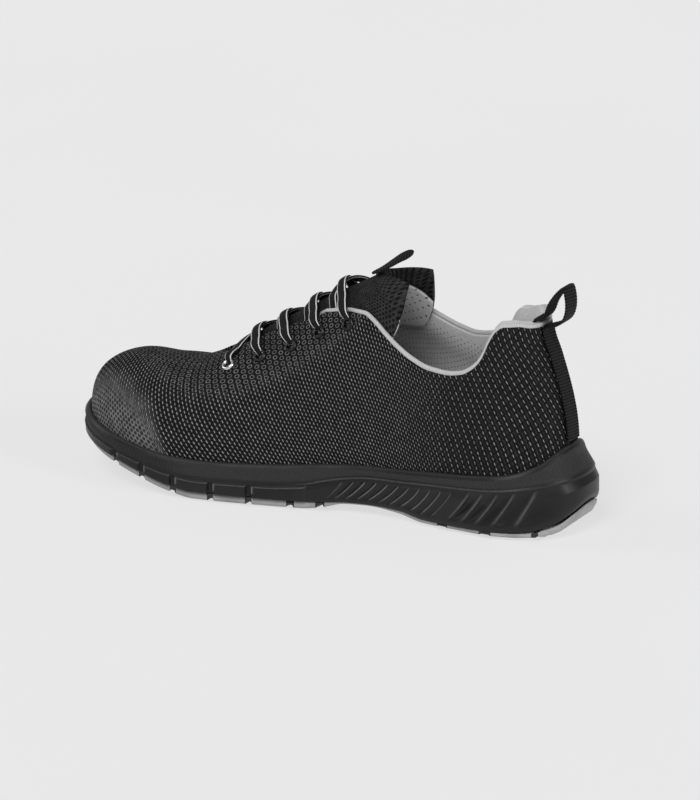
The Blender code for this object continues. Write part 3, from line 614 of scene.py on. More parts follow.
class Look:
    """A material, and short calls that make its nodes. An underscore in a socket's name stands for
    a space."""

    def __init__(self, name):
        self.material = bpy.data.materials.new(name)
        self.material.use_nodes = True
        self.tree = self.material.node_tree

    def put(self, socket, value):
        if isinstance(value, bpy.types.NodeSocket):
            self.tree.links.new(value, socket)
        elif socket.type == "RGBA":
            socket.default_value = (*value, 1)
        else:
            socket.default_value = value

    def fill(self, node, **values):
        for name, value in values.items():
            self.put(node.inputs[name.replace("_", " ")], value)
        return node

    def new(self, kind, **values):
        return self.fill(self.tree.nodes.new(kind), **values)

    def math(self, operation, *values):
        node = self.tree.nodes.new("ShaderNodeMath")
        node.operation = operation
        for socket, value in zip(node.inputs, values):
            self.put(socket, value)
        return node.outputs[0]

    def add(self, *values):
        total = values[0]
        for value in values[1:]:
            total = self.math("ADD", total, value)
        return total

    def times(self, *values):
        total = values[0]
        for value in values[1:]:
            total = self.math("MULTIPLY", total, value)
        return total

    def less(self, value, other):
        return self.math("SUBTRACT", value, other)

    def absolute(self, value):
        return self.math("ABSOLUTE", value)

    def wave(self, value, pitch):
        """Ribs: a sine of this pitch, with broad crests."""
        return self.math("SINE", self.times(value, 2 * math.pi / pitch))

    def ramp(self, value, low, high, to_low=0.0, to_high=1.0):
        limits = {"From_Min": low, "From_Max": high, "To_Min": to_low, "To_Max": to_high}
        node = self.new("ShaderNodeMapRange", Value=value, **limits)
        node.interpolation_type = "SMOOTHSTEP"
        return node.outputs["Result"]

    def fall(self, value, low, high):
        return self.ramp(value, low, high, 1.0, 0.0)

    def axes(self, vector):
        return self.new("ShaderNodeSeparateXYZ", Vector=vector).outputs[:3]

    def uv(self, layer):
        node = self.new("ShaderNodeUVMap")
        node.uv_map = layer
        return self.axes(node.outputs[0])[:2]

    def place(self):
        """The point on the object, in metres."""
        return self.new("ShaderNodeTexCoord").outputs["Object"]

    def noise(self, vector, scale, detail=3.0, rough=0.55):
        node = self.new("ShaderNodeTexNoise", Vector=vector, Scale=scale, Detail=detail, Roughness=rough)
        return node.outputs[0]

    def chance(self, vector):
        return self.new("ShaderNodeTexWhiteNoise", Vector=vector).outputs["Value"]

    def mix(self, share, first, second):
        node = self.tree.nodes.new("ShaderNodeMix")
        node.data_type = "RGBA"
        for number, value in ((0, share), (6, first), (7, second)):
            self.put(node.inputs[number], value)
        return node.outputs[2]

    def bump(self, height, distance, strength):
        return self.new("ShaderNodeBump", Height=height, Distance=distance, Strength=strength).outputs[0]

    def finish(self, colour, roughness, **others):
        shader = self.tree.nodes["Principled BSDF"]
        self.fill(shader, Base_Color=colour, Roughness=roughness, **others)
        return self


def grey(value):
    return (value, value, value)


def staggered(look, u, v):
    """Places inside a cell, from -1 to 1, on columns whose rows are offset by turns, the cell, and
    whether its column is an odd one."""
    column = look.math("FLOOR", u)
    odd = look.math("MODULO", look.add(column, 1000.0), 2.0)
    row = look.add(v, look.times(odd, 0.5))
    across_cell, along_cell = (look.times(look.less(look.math("FRACT", p), 0.5), 2.0) for p in (u, row))
    cell = look.new("ShaderNodeCombineXYZ", X=column, Y=look.math("FLOOR", row)).outputs[0]
    return across_cell, along_cell, cell, odd


def radius(look, a, b, wide, long):
    a, b = look.math("DIVIDE", a, wide), look.math("DIVIDE", b, long)
    return look.math("SQRT", look.add(look.times(a, a), look.times(b, b)))


def knit_look():
    """Black knit with light dashes, which give way to rings on the instep and to a net on the toe."""
    look = Look("black knit")
    u, v = look.uv("cloth")
    ring, net = look.uv("zone")
    place = look.place()
    a, b, cell, odd = staggered(look, u, v)
    wide_a, wide_b, wide_cell, _ = staggered(look, look.times(u, 0.5), look.times(v, 0.85))
    fibre = look.noise(place, FINE_FIBRE, 2.0)
    luck = look.ramp(look.chance(cell), 0.0, 1.0, 0.6, 1.0)
    heel = look.fall(look.axes(place)[0], 0.000, 0.050)
    dim = look.less(1.0, look.times(odd, heel, 0.9))
    bar = look.times(look.fall(look.absolute(a), 0.12, 0.26), look.fall(look.absolute(b), 0.42, 0.62), dim)
    bar = look.times(bar, look.fall(ring, 0.15, 0.75), luck)
    off = look.absolute(look.less(radius(look, wide_a, wide_b, 0.60, 0.60), 1.0))
    circle = look.times(look.fall(off, 0.10, 0.28), look.ramp(ring, 0.1, 0.6))
    circle = look.times(circle, look.ramp(look.chance(wide_cell), 0.0, 1.0, 0.26, 0.46))
    thread = look.times(look.math("MAXIMUM", bar, circle), look.ramp(net, 0.3, 1.0, 1.0, 0.15))
    diamond = look.absolute(look.less(look.add(look.absolute(a), look.absolute(b)), 0.98))
    links = look.times(look.fall(diamond, 0.12, 0.30), look.less(1.0, net))
    strands = look.times(look.ramp(radius(look, a, b, 0.72, 0.66), 0.85, 1.20), net)
    rough_up = look.times(look.ramp(fibre, 0.30, 0.65, 0.5, 1.0), luck)
    colour = look.mix(look.times(links, rough_up), (0.0020, 0.0020, 0.0021), (0.034, 0.034, 0.035))
    colour = look.mix(look.times(strands, rough_up), colour, grey(0.24))
    colour = look.mix(look.times(thread, look.ramp(fibre, 0.30, 0.60, 0.7, 1.0)), colour, grey(0.56))
    relief = look.bump(look.add(thread, look.times(look.add(links, strands), 0.7)), 0.0004, 0.9)
    return look.finish(colour, 0.85, Normal=relief, Specular_IOR_Level=0.15)


def lining_look():
    """Pale spacer mesh with small dark perforations."""
    look = Look("pale lining")
    u, v = look.uv("cloth")
    punched, _ = look.uv("zone")
    place = look.place()
    a, b, _, _ = staggered(look, u, v)
    hole = look.times(look.fall(radius(look, a, b, 0.32, 0.28), 0.75, 1.15), punched)
    fibre = look.noise(place, 1800.0, 3.0)
    soft = look.noise(place, 60.0, 2.0)
    pale = look.mix(look.ramp(fibre, 0.3, 0.7), grey(0.56), grey(0.74))
    pale = look.mix(look.ramp(soft, 0.3, 0.7, 0.0, 0.2), pale, grey(0.60))
    colour = look.mix(look.times(hole, 0.9), pale, grey(0.06))
    relief = look.bump(look.add(look.times(hole, -1.0), look.times(fibre, 0.35)), 0.0005, 0.8)
    return look.finish(colour, 0.8, Normal=relief, Sheen_Weight=0.2, Specular_IOR_Level=0.3)


def ribbon_look(name, dark, light, pitch, depth):
    """Woven ribbon with fine slanting ribs along its run, which the first coordinate gives in mm."""
    look = Look(name)
    u, v = look.uv("cloth")
    fibre = look.noise(look.place(), 2400.0, 2.0)
    rib = look.ramp(look.wave(look.add(u, look.times(v, 0.5)), pitch), -0.7, 0.8)
    colour = look.mix(look.times(rib, look.ramp(fibre, 0.25, 0.7, 0.5, 1.0)), dark, light)
    relief = look.bump(look.add(rib, look.times(fibre, 0.4)), depth, 0.8)
    return look.finish(colour, 0.75, Normal=relief, Specular_IOR_Level=0.2)


def tongue_look():
    """Black mesh of staggered round holes, 0.95 mm by 1.3 mm apart."""
    look = Look("tongue mesh")
    u, v = look.uv("cloth")
    a, b, cell, _ = staggered(look, look.times(u, 1 / 0.95), look.times(v, 1 / 1.3))
    mesh = look.ramp(radius(look, a, b, 0.62, 0.60), 0.75, 1.25)
    fibre = look.ramp(look.noise(look.place(), FINE_FIBRE, 2.0), 0.3, 0.65, 0.35, 1.0)
    share = look.times(mesh, fibre, look.ramp(look.chance(cell), 0, 1, 0.5, 1.0))
    colour = look.mix(share, (0.0016, 0.0016, 0.0017), (0.055, 0.055, 0.056))
    return look.finish(colour, 0.85, Normal=look.bump(mesh, 0.0004, 0.9), Specular_IOR_Level=0.2)


def lace_look():
    """Flat tubular lace: black plait with a light line near each edge of its face."""
    look = Look("lace")
    u, v = look.uv("cloth")
    fibre = look.noise(look.place(), FINE_FIBRE, 2.0)
    aside = look.absolute(v)
    edge = look.fall(look.absolute(look.less(aside, 0.80)), 0.07, 0.13)
    plait = look.ramp(look.wave(look.add(u, look.times(aside, 1.2)), 1.1), -0.5, 0.8)
    dark = look.mix(look.times(plait, look.ramp(fibre, 0.3, 0.65, 0.3, 1.0)), grey(0.002), grey(0.026))
    light = look.mix(look.ramp(fibre, 0.3, 0.6), grey(0.60), grey(0.85))
    relief = look.bump(look.add(look.times(plait, 0.7), look.times(edge, 0.5)), 0.0003, 0.9)
    return look.finish(look.mix(edge, dark, light), 0.75, Normal=relief, Specular_IOR_Level=0.2)


def rubber_look():
    """Black satin foam rubber: fine honeycomb on its upper band, painted paler there partly as a painted
    highlight, and painted highlights on its edges.
    """
    look = Look("black foam rubber")
    u, v = look.uv("cloth")
    knurl, painted_highlight = look.uv("zone")
    place = look.place()
    a, b, _, _ = staggered(look, u, look.times(v, 1 / 1.25))
    comb = look.ramp(radius(look, a, b, 0.75, 0.75), 0.55, 1.25)
    grain = look.noise(place, 900.0, 4.0)
    cloud = look.noise(place, 45.0, 3.0)
    colour = look.mix(look.ramp(cloud, 0.3, 0.7), (0.006, 0.006, 0.0062), (0.011, 0.011, 0.0112))
    # The honeycomb band is painted paler: partly its own texture, partly a painted highlight on the
    # honeycomb.
    lit = look.times(knurl, look.add(0.35, look.times(comb, 0.65)))
    colour = look.mix(lit, colour, (0.030, 0.030, 0.031))
    # Painted highlight: a paler colour along the lip, the ledge, the flutes' edges and the blocks' edges.
    colour = look.mix(look.times(painted_highlight, look.ramp(grain, 0.35, 0.65, 0.6, 1.0)), colour, grey(0.30))
    roughness = look.add(0.36, look.times(knurl, 0.14), look.times(grain, 0.10))
    relief = look.bump(look.add(look.times(comb, knurl), look.times(grain, 0.10)), 0.0003, 0.8)
    return look.finish(colour, roughness, Normal=relief, Specular_IOR_Level=0.32)


def tread_look():
    """Light grey outsole rubber, painted near-black inside its grooves: painted shade, and the black rubber
    showing there.
    """
    look = Look("grey rubber")
    groove, _ = look.uv("zone")
    place = look.place()
    grain = look.noise(place, 700.0, 4.0)
    cloud = look.noise(place, 60.0, 3.0)
    pale = look.mix(look.ramp(cloud, 0.3, 0.7), grey(0.27), grey(0.38))
    pale = look.mix(look.ramp(grain, 0.55, 0.75, 0.0, 0.35), pale, grey(0.16))
    # Painted shade: near-black in the grooves, where shade falls and the black rubber shows.
    colour = look.mix(look.ramp(groove, 0.35, 0.65), pale, grey(0.012))
    roughness = look.add(0.42, look.times(grain, 0.2))
    return look.finish(colour, roughness, Normal=look.bump(grain, 0.00015, 0.5))


def insole_look():
    """Mid grey plain weave, its threads 1.6 mm apart both ways."""
    look = Look("insole cloth")
    place = look.place()
    fibre = look.noise(place, 2000.0, 3.0)
    warp, weft = (look.ramp(look.wave(axis, 0.0016), -0.5, 0.8) for axis in look.axes(place)[:2])
    share = look.times(look.add(warp, weft), 0.5)
    lit = look.times(share, look.ramp(fibre, 0.3, 0.7, 0.5, 1.0))
    colour = look.mix(lit, grey(0.20), grey(0.40))
    return look.finish(colour, 0.85, Normal=look.bump(share, 0.0002, 0.6), Sheen_Weight=0.2)


def metal_look(name, colour, roughness):
    """Rolled metal with faint scratches."""
    look = Look(name)
    scratch = look.noise(look.place(), 1500.0, 5.0, 0.65)
    shade = look.mix(look.ramp(scratch, 0.4, 0.7), colour, tuple(c * 0.72 for c in colour))
    roughness = look.add(roughness, look.times(scratch, 0.14))
    return look.finish(shade, roughness, Normal=look.bump(scratch, 0.00004, 0.4), Metallic=1.0)


def floor_look():
    """A bright, even studio floor that lights itself up to the photo's background."""
    look = Look("studio floor")
    grain = look.noise(look.place(), 3.0, 2.0)
    colour = look.mix(look.ramp(grain, 0.3, 0.7), grey(0.245), grey(0.255))
    glow = {"Emission_Color": grey(1.0), "Emission_Strength": 0.625}
    return look.finish(colour, 0.9, Specular_IOR_Level=0.0, **glow)


# Pieces.


def below_crest(stations, turn, side):
    """Distance along the last's section from its crest down to each turn, in metres."""
    full = np.linspace(0, np.pi / 2, 120)[:, None]
    section = last_points(stations[None, :] + 0 * full, side, full + 0 * stations[None, :])
    down = below_last_row(section)
    return np.stack([np.interp(turn[:, i], full[:, 0], down[:, i]) for i in range(len(stations))], axis=1)


def along_last(stations):
    """How many columns of the cloth lie between the heel and each station, half way up the side."""
    fine = np.linspace(REAR, LAST_LENGTH, 1200)
    steps = np.diff(run_along(last_points(fine, 1, 0 * fine + 0.9)))
    columns = np.concatenate([[0], np.cumsum(steps / grain_pitch((fine[1:] + fine[:-1]) / 2))])
    return np.interp(stations, fine, columns)


def creases(stations, share):
    """Height of the soft folds over the plain upper at each station and share of the quarter turn."""
    raised = 0 * share
    for station, middle, long, wide, slope, depth in CREASES:
        off = stations[None, :] - station * LAST_LENGTH - slope * (share - middle) * 0.1
        raised = raised + depth * np.exp(-((off / long) ** 2) - ((share - middle) / wide) ** 2)
    return raised


def feather_rows(stations):
    """The last's outline at the feather line, medial side and lateral side."""
    return [last_points(stations, side, 0 * stations) for side in (1, -1)]


def level(row, out, reach, z):
    """A row of points moved out and set at a height."""
    place = row + out * np.asarray(reach)[..., None]
    place[:, 2] = z
    return place


def plan_ring(stations, outset, z):
    """The feather line moved out and set at a height: medial side and lateral side."""
    rows = feather_rows(stations)
    return [level(row, out, outset, z) for row, out in zip(rows, plan_normals(rows))]


def plan_normals(rows):
    """Level outward directions of two sides' rows, which share their first and last point."""
    loop = np.concatenate([rows[0][::-1], rows[1][1:-1]])
    ahead = np.roll(loop, -1, axis=0) - np.roll(loop, 1, axis=0)
    out = unit(np.stack([-ahead[:, 1], ahead[:, 0], 0 * ahead[:, 0]], -1))
    if (loop[0] - loop.mean(axis=0)) @ out[0] < 0:
        out = -out
    count = len(rows[0])
    near = out[:count][::-1]
    return near, np.concatenate([near[:1], out[count:], near[-1:]])


def upper_sides(stations, steps):
    """Rows of points up the upper's outer surface for each side, with its cloth coordinates."""
    base = feather(stations)
    rise = floor(stations) + GAP - base
    foot_rings = [plan_ring(stations, -TUCK * share**2, base + rise * share) for share in FOOT_ROWS]
    columns, pitch = along_last(stations), grain_pitch(stations)
    top_slant, low_slant = grain_top(stations), grain_low(stations)
    ring_start, net_start = ring_to(stations), net_from(stations)
    sides, cloth, zone = [], [], []
    for k, side in enumerate((1, -1)):
        turn = edge_turn(stations, side)[None, :] * np.linspace(0, 1, steps + 1)[:, None]
        rows = last_points(stations[None, :] + 0 * turn, side, turn)
        sides.append(np.concatenate([[ring[k]] for ring in foot_rings] + [rows]))
        down = below_crest(stations, turn, side)
        down = np.concatenate([down[:1] + 0.006, down[:1] + 0.003, down])
        slide = top_slant * down + (low_slant - top_slant) * down**2 / (2 * GRAIN_DOWN)
        courses = down / ROW_PITCH - CREST_ROWS * (1 - np.exp(-down / CREST_REACH))
        cloth.append((columns + slide / pitch, courses))
        rings = 1 - ease((down - ring_start) / (ring_gone(stations) - ring_start))
        net = ease((down - net_start) / (net_full(stations) - net_start))
        zone.append((rings, net))
    return sides, cloth, zone


def joined(values):
    """Two sides' pairs of coordinate tables as one pair round the shoe."""
    return tuple(around([values[0][k], values[1][k]]) for k in (0, 1))


def build_upper(look):
    """The knit: an outer and an inner face, joined below and round the open edge."""
    stations = fine_stations(KNIT_STEP)
    sides, cloth, zone = upper_sides(stations, 64)
    cloth, zone = joined(cloth), joined(zone)
    outer = around(sides)
    normals = ways_out(outer)
    line = round_heel(stations, stations)
    row = np.arange(len(outer))
    fade = ease(row[::-1] / 6) * ease((row - 6) / 12)
    folds = creases(line, np.linspace(0, 1, len(outer))[:, None]) * fade[:, None]
    outer = outer + normals * folds[..., None]
    crest_meets = line >= THROAT_END
    both = normals[-1] + normals[-1][::-1]
    both[:, 1] = 0
    normals[-1][crest_meets] = unit(both[crest_meets])
    thick = WALL * KNIT_SHARE
    inner = outer - normals * thick
    inner[0, :, 2] = outer[0, :, 2]
    mesh = Mesh()
    out_index = mesh.table(outer, cloth=cloth, zone=zone)
    in_index = mesh.table(inner, cloth=cloth, zone=zone)
    mesh.quads(out_index)
    mesh.quads(in_index, flip=True)
    mesh.quads([in_index[0], out_index[0]])
    open_columns = np.flatnonzero(~crest_meets)
    edge = slice(open_columns[0] - 1, open_columns[-1] + 2)
    column = np.arange(edge.stop - edge.start)
    taper = ease(np.minimum(column, column[::-1]) / 8)[:, None]
    rise = unit(outer[-1] - outer[-2])
    middle = (outer[-1] + inner[-1]) / 2
    layers = {"cloth": [c[-1, edge] for c in cloth], "zone": [z[-1, edge] for z in zone]}
    rows = [out_index[-1, edge]]
    for turn in (math.pi / 4, math.pi / 2, 3 * math.pi / 4):
        place = middle + normals[-1] * (thick / 2) * math.cos(turn)
        place = place[edge] + rise[edge] * (thick / 2) * math.sin(turn) * taper * 0.8
        rows.append(mesh.table(place, **layers))
    mesh.quads(rows + [in_index[-1, edge]])
    made = mesh.finish("knit_upper", look)
    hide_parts("upper")


def pad_thickness(stations, down):
    """How thick the lining and its foam are, down being the distance below the collar's edge."""
    heel = ease(1 - (stations - 0.042) / 0.020)
    collar = ease(1 - (stations - 0.120) / 0.030)
    bulge = np.exp(-(((down - 0.008) / 0.010) ** 2))
    return LINING_THICK + (PAD_COLLAR * collar + PAD_HEEL * heel) * bulge


def build_lining(look):
    """The pale lining and its foam, from the collar's edge down inside the knit."""
    stations = fine_stations(LINING_STEP, LINING_END)
    outer = around(upper_sides(stations, 48)[0])
    rise, along = np.gradient(outer, axis=0), np.gradient(outer, axis=1)
    normals, rise = unit(np.cross(along, rise)), unit(rise)
    down = below_last_row(outer)
    line = round_heel(stations, stations)
    lift = HEEL_LIFT * ease(1 - (line - 0.040) / 0.020) * ease(1 - down / 0.020)
    back = outer - normals * (WALL * LINING_SHARE)
    front = back - normals * pad_thickness(line[None, :], down)[..., None] + rise * lift[..., None]
    beside_heel, low = ease((line - 0.050) / 0.012), ease((down - 0.014) / 0.004)
    punched = ease((down - 0.003) / 0.002) * np.maximum(beside_heel, low)
    layers = {
        "cloth": (run_along(outer[20]) / HOLE_PITCH + 0 * down, down / HOLE_ROWS),
        "zone": (punched, 0 * down),
    }
    mesh = Mesh()
    back_index, front_index = mesh.table(back, **layers), mesh.table(front, **layers)
    mesh.quads(back_index)
    mesh.quads(front_index, flip=True)
    for k in (0, -1):
        mesh.quads([back_index[:, k], front_index[:, k]])
    mesh.quads([back_index[0], front_index[0]])
    middle, reach = (back[-1] + front[-1]) / 2, (back[-1] - front[-1]) / 2
    dome = np.minimum(np.linalg.norm(reach * 2, axis=-1, keepdims=True) * 0.4, 0.0016)
    edge = {name: [values[-1] for values in pair] for name, pair in layers.items()}
    rows = [back_index[-1]]
    for turn in np.linspace(0, np.pi, 8)[1:-1]:
        place = middle + reach * math.cos(turn) + rise[-1] * dome * math.sin(turn)
        rows.append(mesh.table(place, **edge))
    mesh.quads(rows + [front_index[-1]])
    made = mesh.finish("lining_pad", look)


def build_binding(look):
    """Light ribbon folded over the collar's edge."""
    stations = np.append(fine_stations(BINDING_STEP, COLLAR_FRONT), BINDING_END)
    edges, rises = [], []
    for side in (1, -1):
        turn = edge_turn(stations, side)
        edges.append(last_points(stations, side, turn))
        rises.append(unit(edges[-1] - last_points(stations, side, turn - 0.05)))
    path, rise = round_heel(*edges), round_heel(*rises)
    rise = unit(rise + np.roll(rise, 1, axis=0) + np.roll(rise, -1, axis=0))
    rise[0], rise[-1] = rises[0][-1], rises[1][-1]
    out = unit(np.cross(rise, unit(np.gradient(path, axis=0))))
    flip = np.sign(np.sum(out * (path - INSIDE_POINT), axis=1))[:, None]
    out = out * np.where(np.abs(path[:, 1:2]) > 0.008, flip, np.sign(-out[:, :1]))
    middle = path - out * (WALL / 2) + rise * (GAP + BINDING_HEIGHT / 2)
    section = np.array(BINDING_SECTION)
    mesh = Mesh()
    across_cloth = np.linspace(-1, 1, len(section) + 1)
    band(mesh, middle, out, rise, section, BINDING_WIDTH, BINDING_HEIGHT, across_cloth)
    made = mesh.finish("edge_binding", look)
    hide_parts("collar_binding")


def ribs_relief(x, down):
    """Flutes of the midsole's side, as depth and as painted highlight along their edges. x is the station of
    a flute's upper end, down runs from 0 to 1."""
    ribs = np.linspace(ARCH_RIBS[0], ARCH_RIBS[1], ARCH_RIBS[2]) * LAST_LENGTH
    pitch = ribs[1] - ribs[0]
    share = (x - ribs[0] + pitch / 2) / pitch
    inside = ease((share + 0.1) / 0.2) * ease((ARCH_RIBS[2] + 0.1 - share) / 0.2)
    saw = 1 - (share - np.floor(share))
    window = inside * ease((down - 0.10) / 0.12) * ease((0.90 - down) / 0.22)
    arch = -ARCH_RIB_IN * ease(saw / 0.14) * saw**1.2 * window
    # Painted highlight along each arch flute's sharp edge.
    near_edge = np.minimum(saw, 1 - saw)
    edges = np.exp(-((near_edge / 0.055) ** 2)) * window
    heels = np.linspace(HEEL_RIBS[0], HEEL_RIBS[1], HEEL_RIBS[2]) * LAST_LENGTH
    half_pitch = (heels[1] - heels[0]) / 2
    lens = np.clip(np.sin(np.pi * np.clip((down - 0.04) / 0.80, 0, 1)), 0, 1) ** 0.7
    scoop, shine = 0 * x, 0 * x
    for place in heels:
        off = (x - place) / half_pitch
        slope = np.where(off > 0, off / 0.55, off / 1.35)
        scoop = np.maximum(scoop, np.cos(np.clip(np.abs(slope), 0, 1) * np.pi / 2))
        # Painted highlight beside each heel scoop, on its side towards the toe.
        shine = np.maximum(shine, np.exp(-(((off - 0.50) / 0.16) ** 2)))
    return arch - HEEL_RIB_IN * scoop * lens, np.maximum(edges * 0.9, shine * lens * 0.40)


def block_relief(x, down):
    """Blocks of the forefoot's side and the gaps between them."""
    near = np.min([np.abs(x - notch) for notch in NOTCHES], axis=0)
    gap = 1 - ease((near - NOTCH / 2 + 0.0006) / 0.0012)
    top = ease((down - 0.02) / 0.10)
    return (BLOCK_OUT * (1 - gap) - NOTCH_IN * gap) * top


def block_edge_highlights(x, down):
    """Painted highlight on the edges of the forefoot's blocks: along the top and at the toe's end."""
    block = block_relief(x, 0.5) > 0
    along = 0.22 * ease(1 - np.abs(down - 0.11) / 0.07)
    ends = np.max([np.exp(-(((notch - NOTCH / 2 - 0.0004 - x) / 0.0006) ** 2)) for notch in NOTCHES], axis=0)
    return block * np.maximum(along, 0.8 * ends * ease((down - 0.06) / 0.06) * ease((0.75 - down) / 0.3))


def swell(wide, share):
    """How far out a level of the midsole's side lies, from just outside the lip to its full flare."""
    return LIP + LIP_STEP + (wide - LIP - LIP_STEP) * share


def lip_and_belt(stations, mouth, root, out, rear, ledge):
    """Rows of the midsole's lip, its upper band and the ledge below, with how ribbed each is and how
    much painted highlight each gets."""
    top, split, wide = rim(stations), divide(stations), flare(stations)
    lip = ((0.25, 0.0003), (0.7, 0.0001), (1, -0.0003))
    # Painted highlight on the lip's rows: 0.10.
    rows = [(mouth, 0, 0.10)]
    rows += [(level(mouth, out, LIP * share, top + z), 0, 0.10) for share, z in lip]
    shelf = swell(wide, SIDE_REACH[0] + HEEL_REACH[0] * rear)
    belt = [
        rows[-1][0],
        level(mouth, out, LIP + 0.0008, top - 0.0016),
        level(root, out, swell(wide, 0.24 + 0.06 * rear), top + (split - top) * 0.45),
        level(root, out, shelf, split + 0.0006),
    ]
    toe_ribs = ease((stations - 0.205) / 0.02)
    smooth = through(belt, BELT_ROWS + 1)
    for n, row in enumerate(smooth[1:], 1):
        t = n / BELT_ROWS
        window = ease((t - 0.30) / 0.12) * ease((0.97 - t) / 0.08)
        rib = np.sin(2 * np.pi * (along_mm(stations) / TOE_RIB_PITCH - t * 1.1))
        ribbed = row + out * (TOE_RIB_OUT * rib * window * toe_ribs)[:, None]
        rows.append((ribbed, window * (1 - 0.6 * toe_ribs), 0))
    # Painted highlight along the ledge's top rows: 0.15 where the ledge stands out.
    for outward, z, painted_highlight in ((0.0004, 0.0003, 0.15), (0.0004, -0.0003, 0.15), (-0.0006, -LEDGE, 0)):
        rows.append((level(root, out, shelf + outward * ledge, split + z), 0, painted_highlight * ledge))
    return rows


def fluted_side(stations, side, out, rear, ledge):
    """Rows of the midsole's side below the ledge: flutes at the heel and arch, then blocks."""
    is_fore = ease((stations - BLOCKS_FROM + 0.0012) / 0.0024)
    split = divide(stations)
    rows = []
    for down in np.linspace(0, 1, 31)[1:]:
        place = stations + slant(stations) * down**1.35
        under = last_points(place, side, 0 * place)
        plain, heel = (np.interp(down, SIDE_LEVELS, table) for table in (SIDE_REACH, HEEL_REACH))
        reach = swell(flare(place), plain + rear * heel) - 0.0006 * ledge * (1 - ease(down / 0.3))
        reach = reach - 0.0004 * ease((down - 0.9) / 0.1)
        flutes, shine = ribs_relief(stations, down)
        relief = flutes * (1 - is_fore) + block_relief(stations, down) * is_fore
        relief = np.where(relief > 0, relief * (1 - ease((down - 0.93) / 0.07)), relief)
        bottom = foot(under[:, 0] + out[:, 0] * flare(stations))
        row = level(under, out, reach + relief, split - LEDGE + (bottom - split + LEDGE) * down)
        # The third value is painted highlight: on the blocks' edges at the forefoot, on the flutes' edges
        # behind.
        rows.append((row, 0, np.maximum(is_fore * block_edge_highlights(stations, down), shine * (1 - is_fore))))
    return rows


def build_midsole(look):
    """The foam cup: from its floor up inside the foot's cavity, over the lip and down outside."""
    stations = fine_stations(MIDSOLE_STEP)
    plan_rows = feather_rows(stations)
    plan = plan_normals(plan_rows)
    mouth_turn = np.minimum(turn_at_height(stations, rim(stations)), 0.45)
    mouths = [last_points(stations, side, mouth_turn) for side in (1, -1)]
    for row in mouths:
        row[:, 2] = rim(stations)
    mouth_out = plan_normals(mouths)
    low, base = floor(stations), feather(stations)
    inside = [
        plan_ring(stations, GAP - TUCK, low),
        plan_ring(stations, GAP - TUCK * 0.3, base + (low - base) * 0.55),
        plan_ring(stations, GAP, base),
    ]
    fore = np.clip((stations / LAST_LENGTH - 0.49) / 0.07, 0, 1)
    rear = np.clip(1 - (stations / LAST_LENGTH - 0.04) / 0.06, 0, 1)
    ledge = (1 - fore) * (1 - rear)
    sides, cloth, zone = [], [], []
    for k, side in enumerate((1, -1)):
        rows = [(ring[k], 0, 0) for ring in inside]
        mouth = mouths[k] + mouth_out[k] * GAP
        rows += lip_and_belt(stations, mouth, plan_rows[k], plan[k], rear, ledge)
        rows += fluted_side(stations, side, plan[k], rear, ledge)
        # The third value of each row is painted highlight, a paler colour on the rubber's edges.
        points, knurl, painted_highlight = zip(*rows)
        sides.append(np.stack(points))
        heights = sides[-1][..., 2] * 1000
        cloth.append((along_mm(stations) + 0 * heights, heights))
        zone.append([np.stack([mark + 0 * stations for mark in marks]) for marks in (knurl, painted_highlight)])
    mesh = Mesh()
    index = mesh.table(around(sides), cloth=joined(cloth), zone=joined(zone))
    mesh.quads(index)
    count = len(stations)
    for row in (0, -1):
        mesh.quads([index[row, :count][::-1], index[row, count - 1 :]])
    made = mesh.finish("rubber_midsole", look)
    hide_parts("midsole")


def along_mm(stations):
    """Distance along the sole's outline in millimetres."""
    fine = np.linspace(REAR, LAST_LENGTH, 1500)
    return np.interp(stations, fine, run_along(last_points(fine, 1, 0 * fine))) * 1000


def build_outsole(look):
    """The tread: a sheet under the midsole with grooves, a channel and shallow cuts below."""
    stations = fine_stations(TREAD_STEP)
    rows = feather_rows(stations)
    reach = (flare(stations) - TREAD_INSET)[:, None]
    left, right = (row + out * reach for row, out in zip(rows, plan_normals(rows)))
    edge = [1.0, 1.0] + list(np.linspace(1, 0.86, 6)[1:])
    shares = np.concatenate([-np.array(edge), np.linspace(-0.8, 0.8, 41), edge[::-1]])
    from_groove = [np.abs(stations - share * LAST_LENGTH) - width / 2 for share, width in GROOVES]
    beside = np.min(from_groove, axis=0)
    groove = 1 - ease((beside + 0.0003) / 0.0005)
    bevel_share = np.interp(stations / LAST_LENGTH, (0.40, 0.48), (0.5, 0.2))
    bottom = []
    for n, share in enumerate(shares):
        place = right + (left - right) * (1 + share) / 2
        sheet, low = foot(place[:, 0]) - GAP, ground(place[:, 0])
        thick = sheet - low
        channel = (1 - ease((np.abs(share) - CHANNEL) / 0.02)) * ease((stations - 0.145) / 0.001)
        cuts = 0.15 * (1 - ease(np.abs(np.sin(stations / 0.0022 + share * 9)) / 0.35))
        deep = np.maximum(np.maximum(groove, channel), cuts * (abs(share) < 0.82))
        bevel = np.clip((abs(share) - EDGE_SHARE) / (1 - EDGE_SHARE), 0, 1)
        round_up = np.minimum(EDGE_RISE, thick * bevel_share) * bevel**0.8
        place[:, 2] = low + np.maximum(np.clip(thick - 0.0012, 0, TREAD_DEPTH) * deep, round_up)
        if n in (0, len(shares) - 1):
            place[:, 2] = sheet
        bottom.append(place)
    mesh = Mesh()
    # The zone marks the grooves for their painted near-black shade.
    index = mesh.table(bottom, zone=(np.where(beside < 0.0002, 1.0, 0.0), 0))
    mesh.quads(index)
    mesh.quads([index[-1], index[0]])
    made = mesh.finish("rubber_outsole", look)
    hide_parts("outsole")


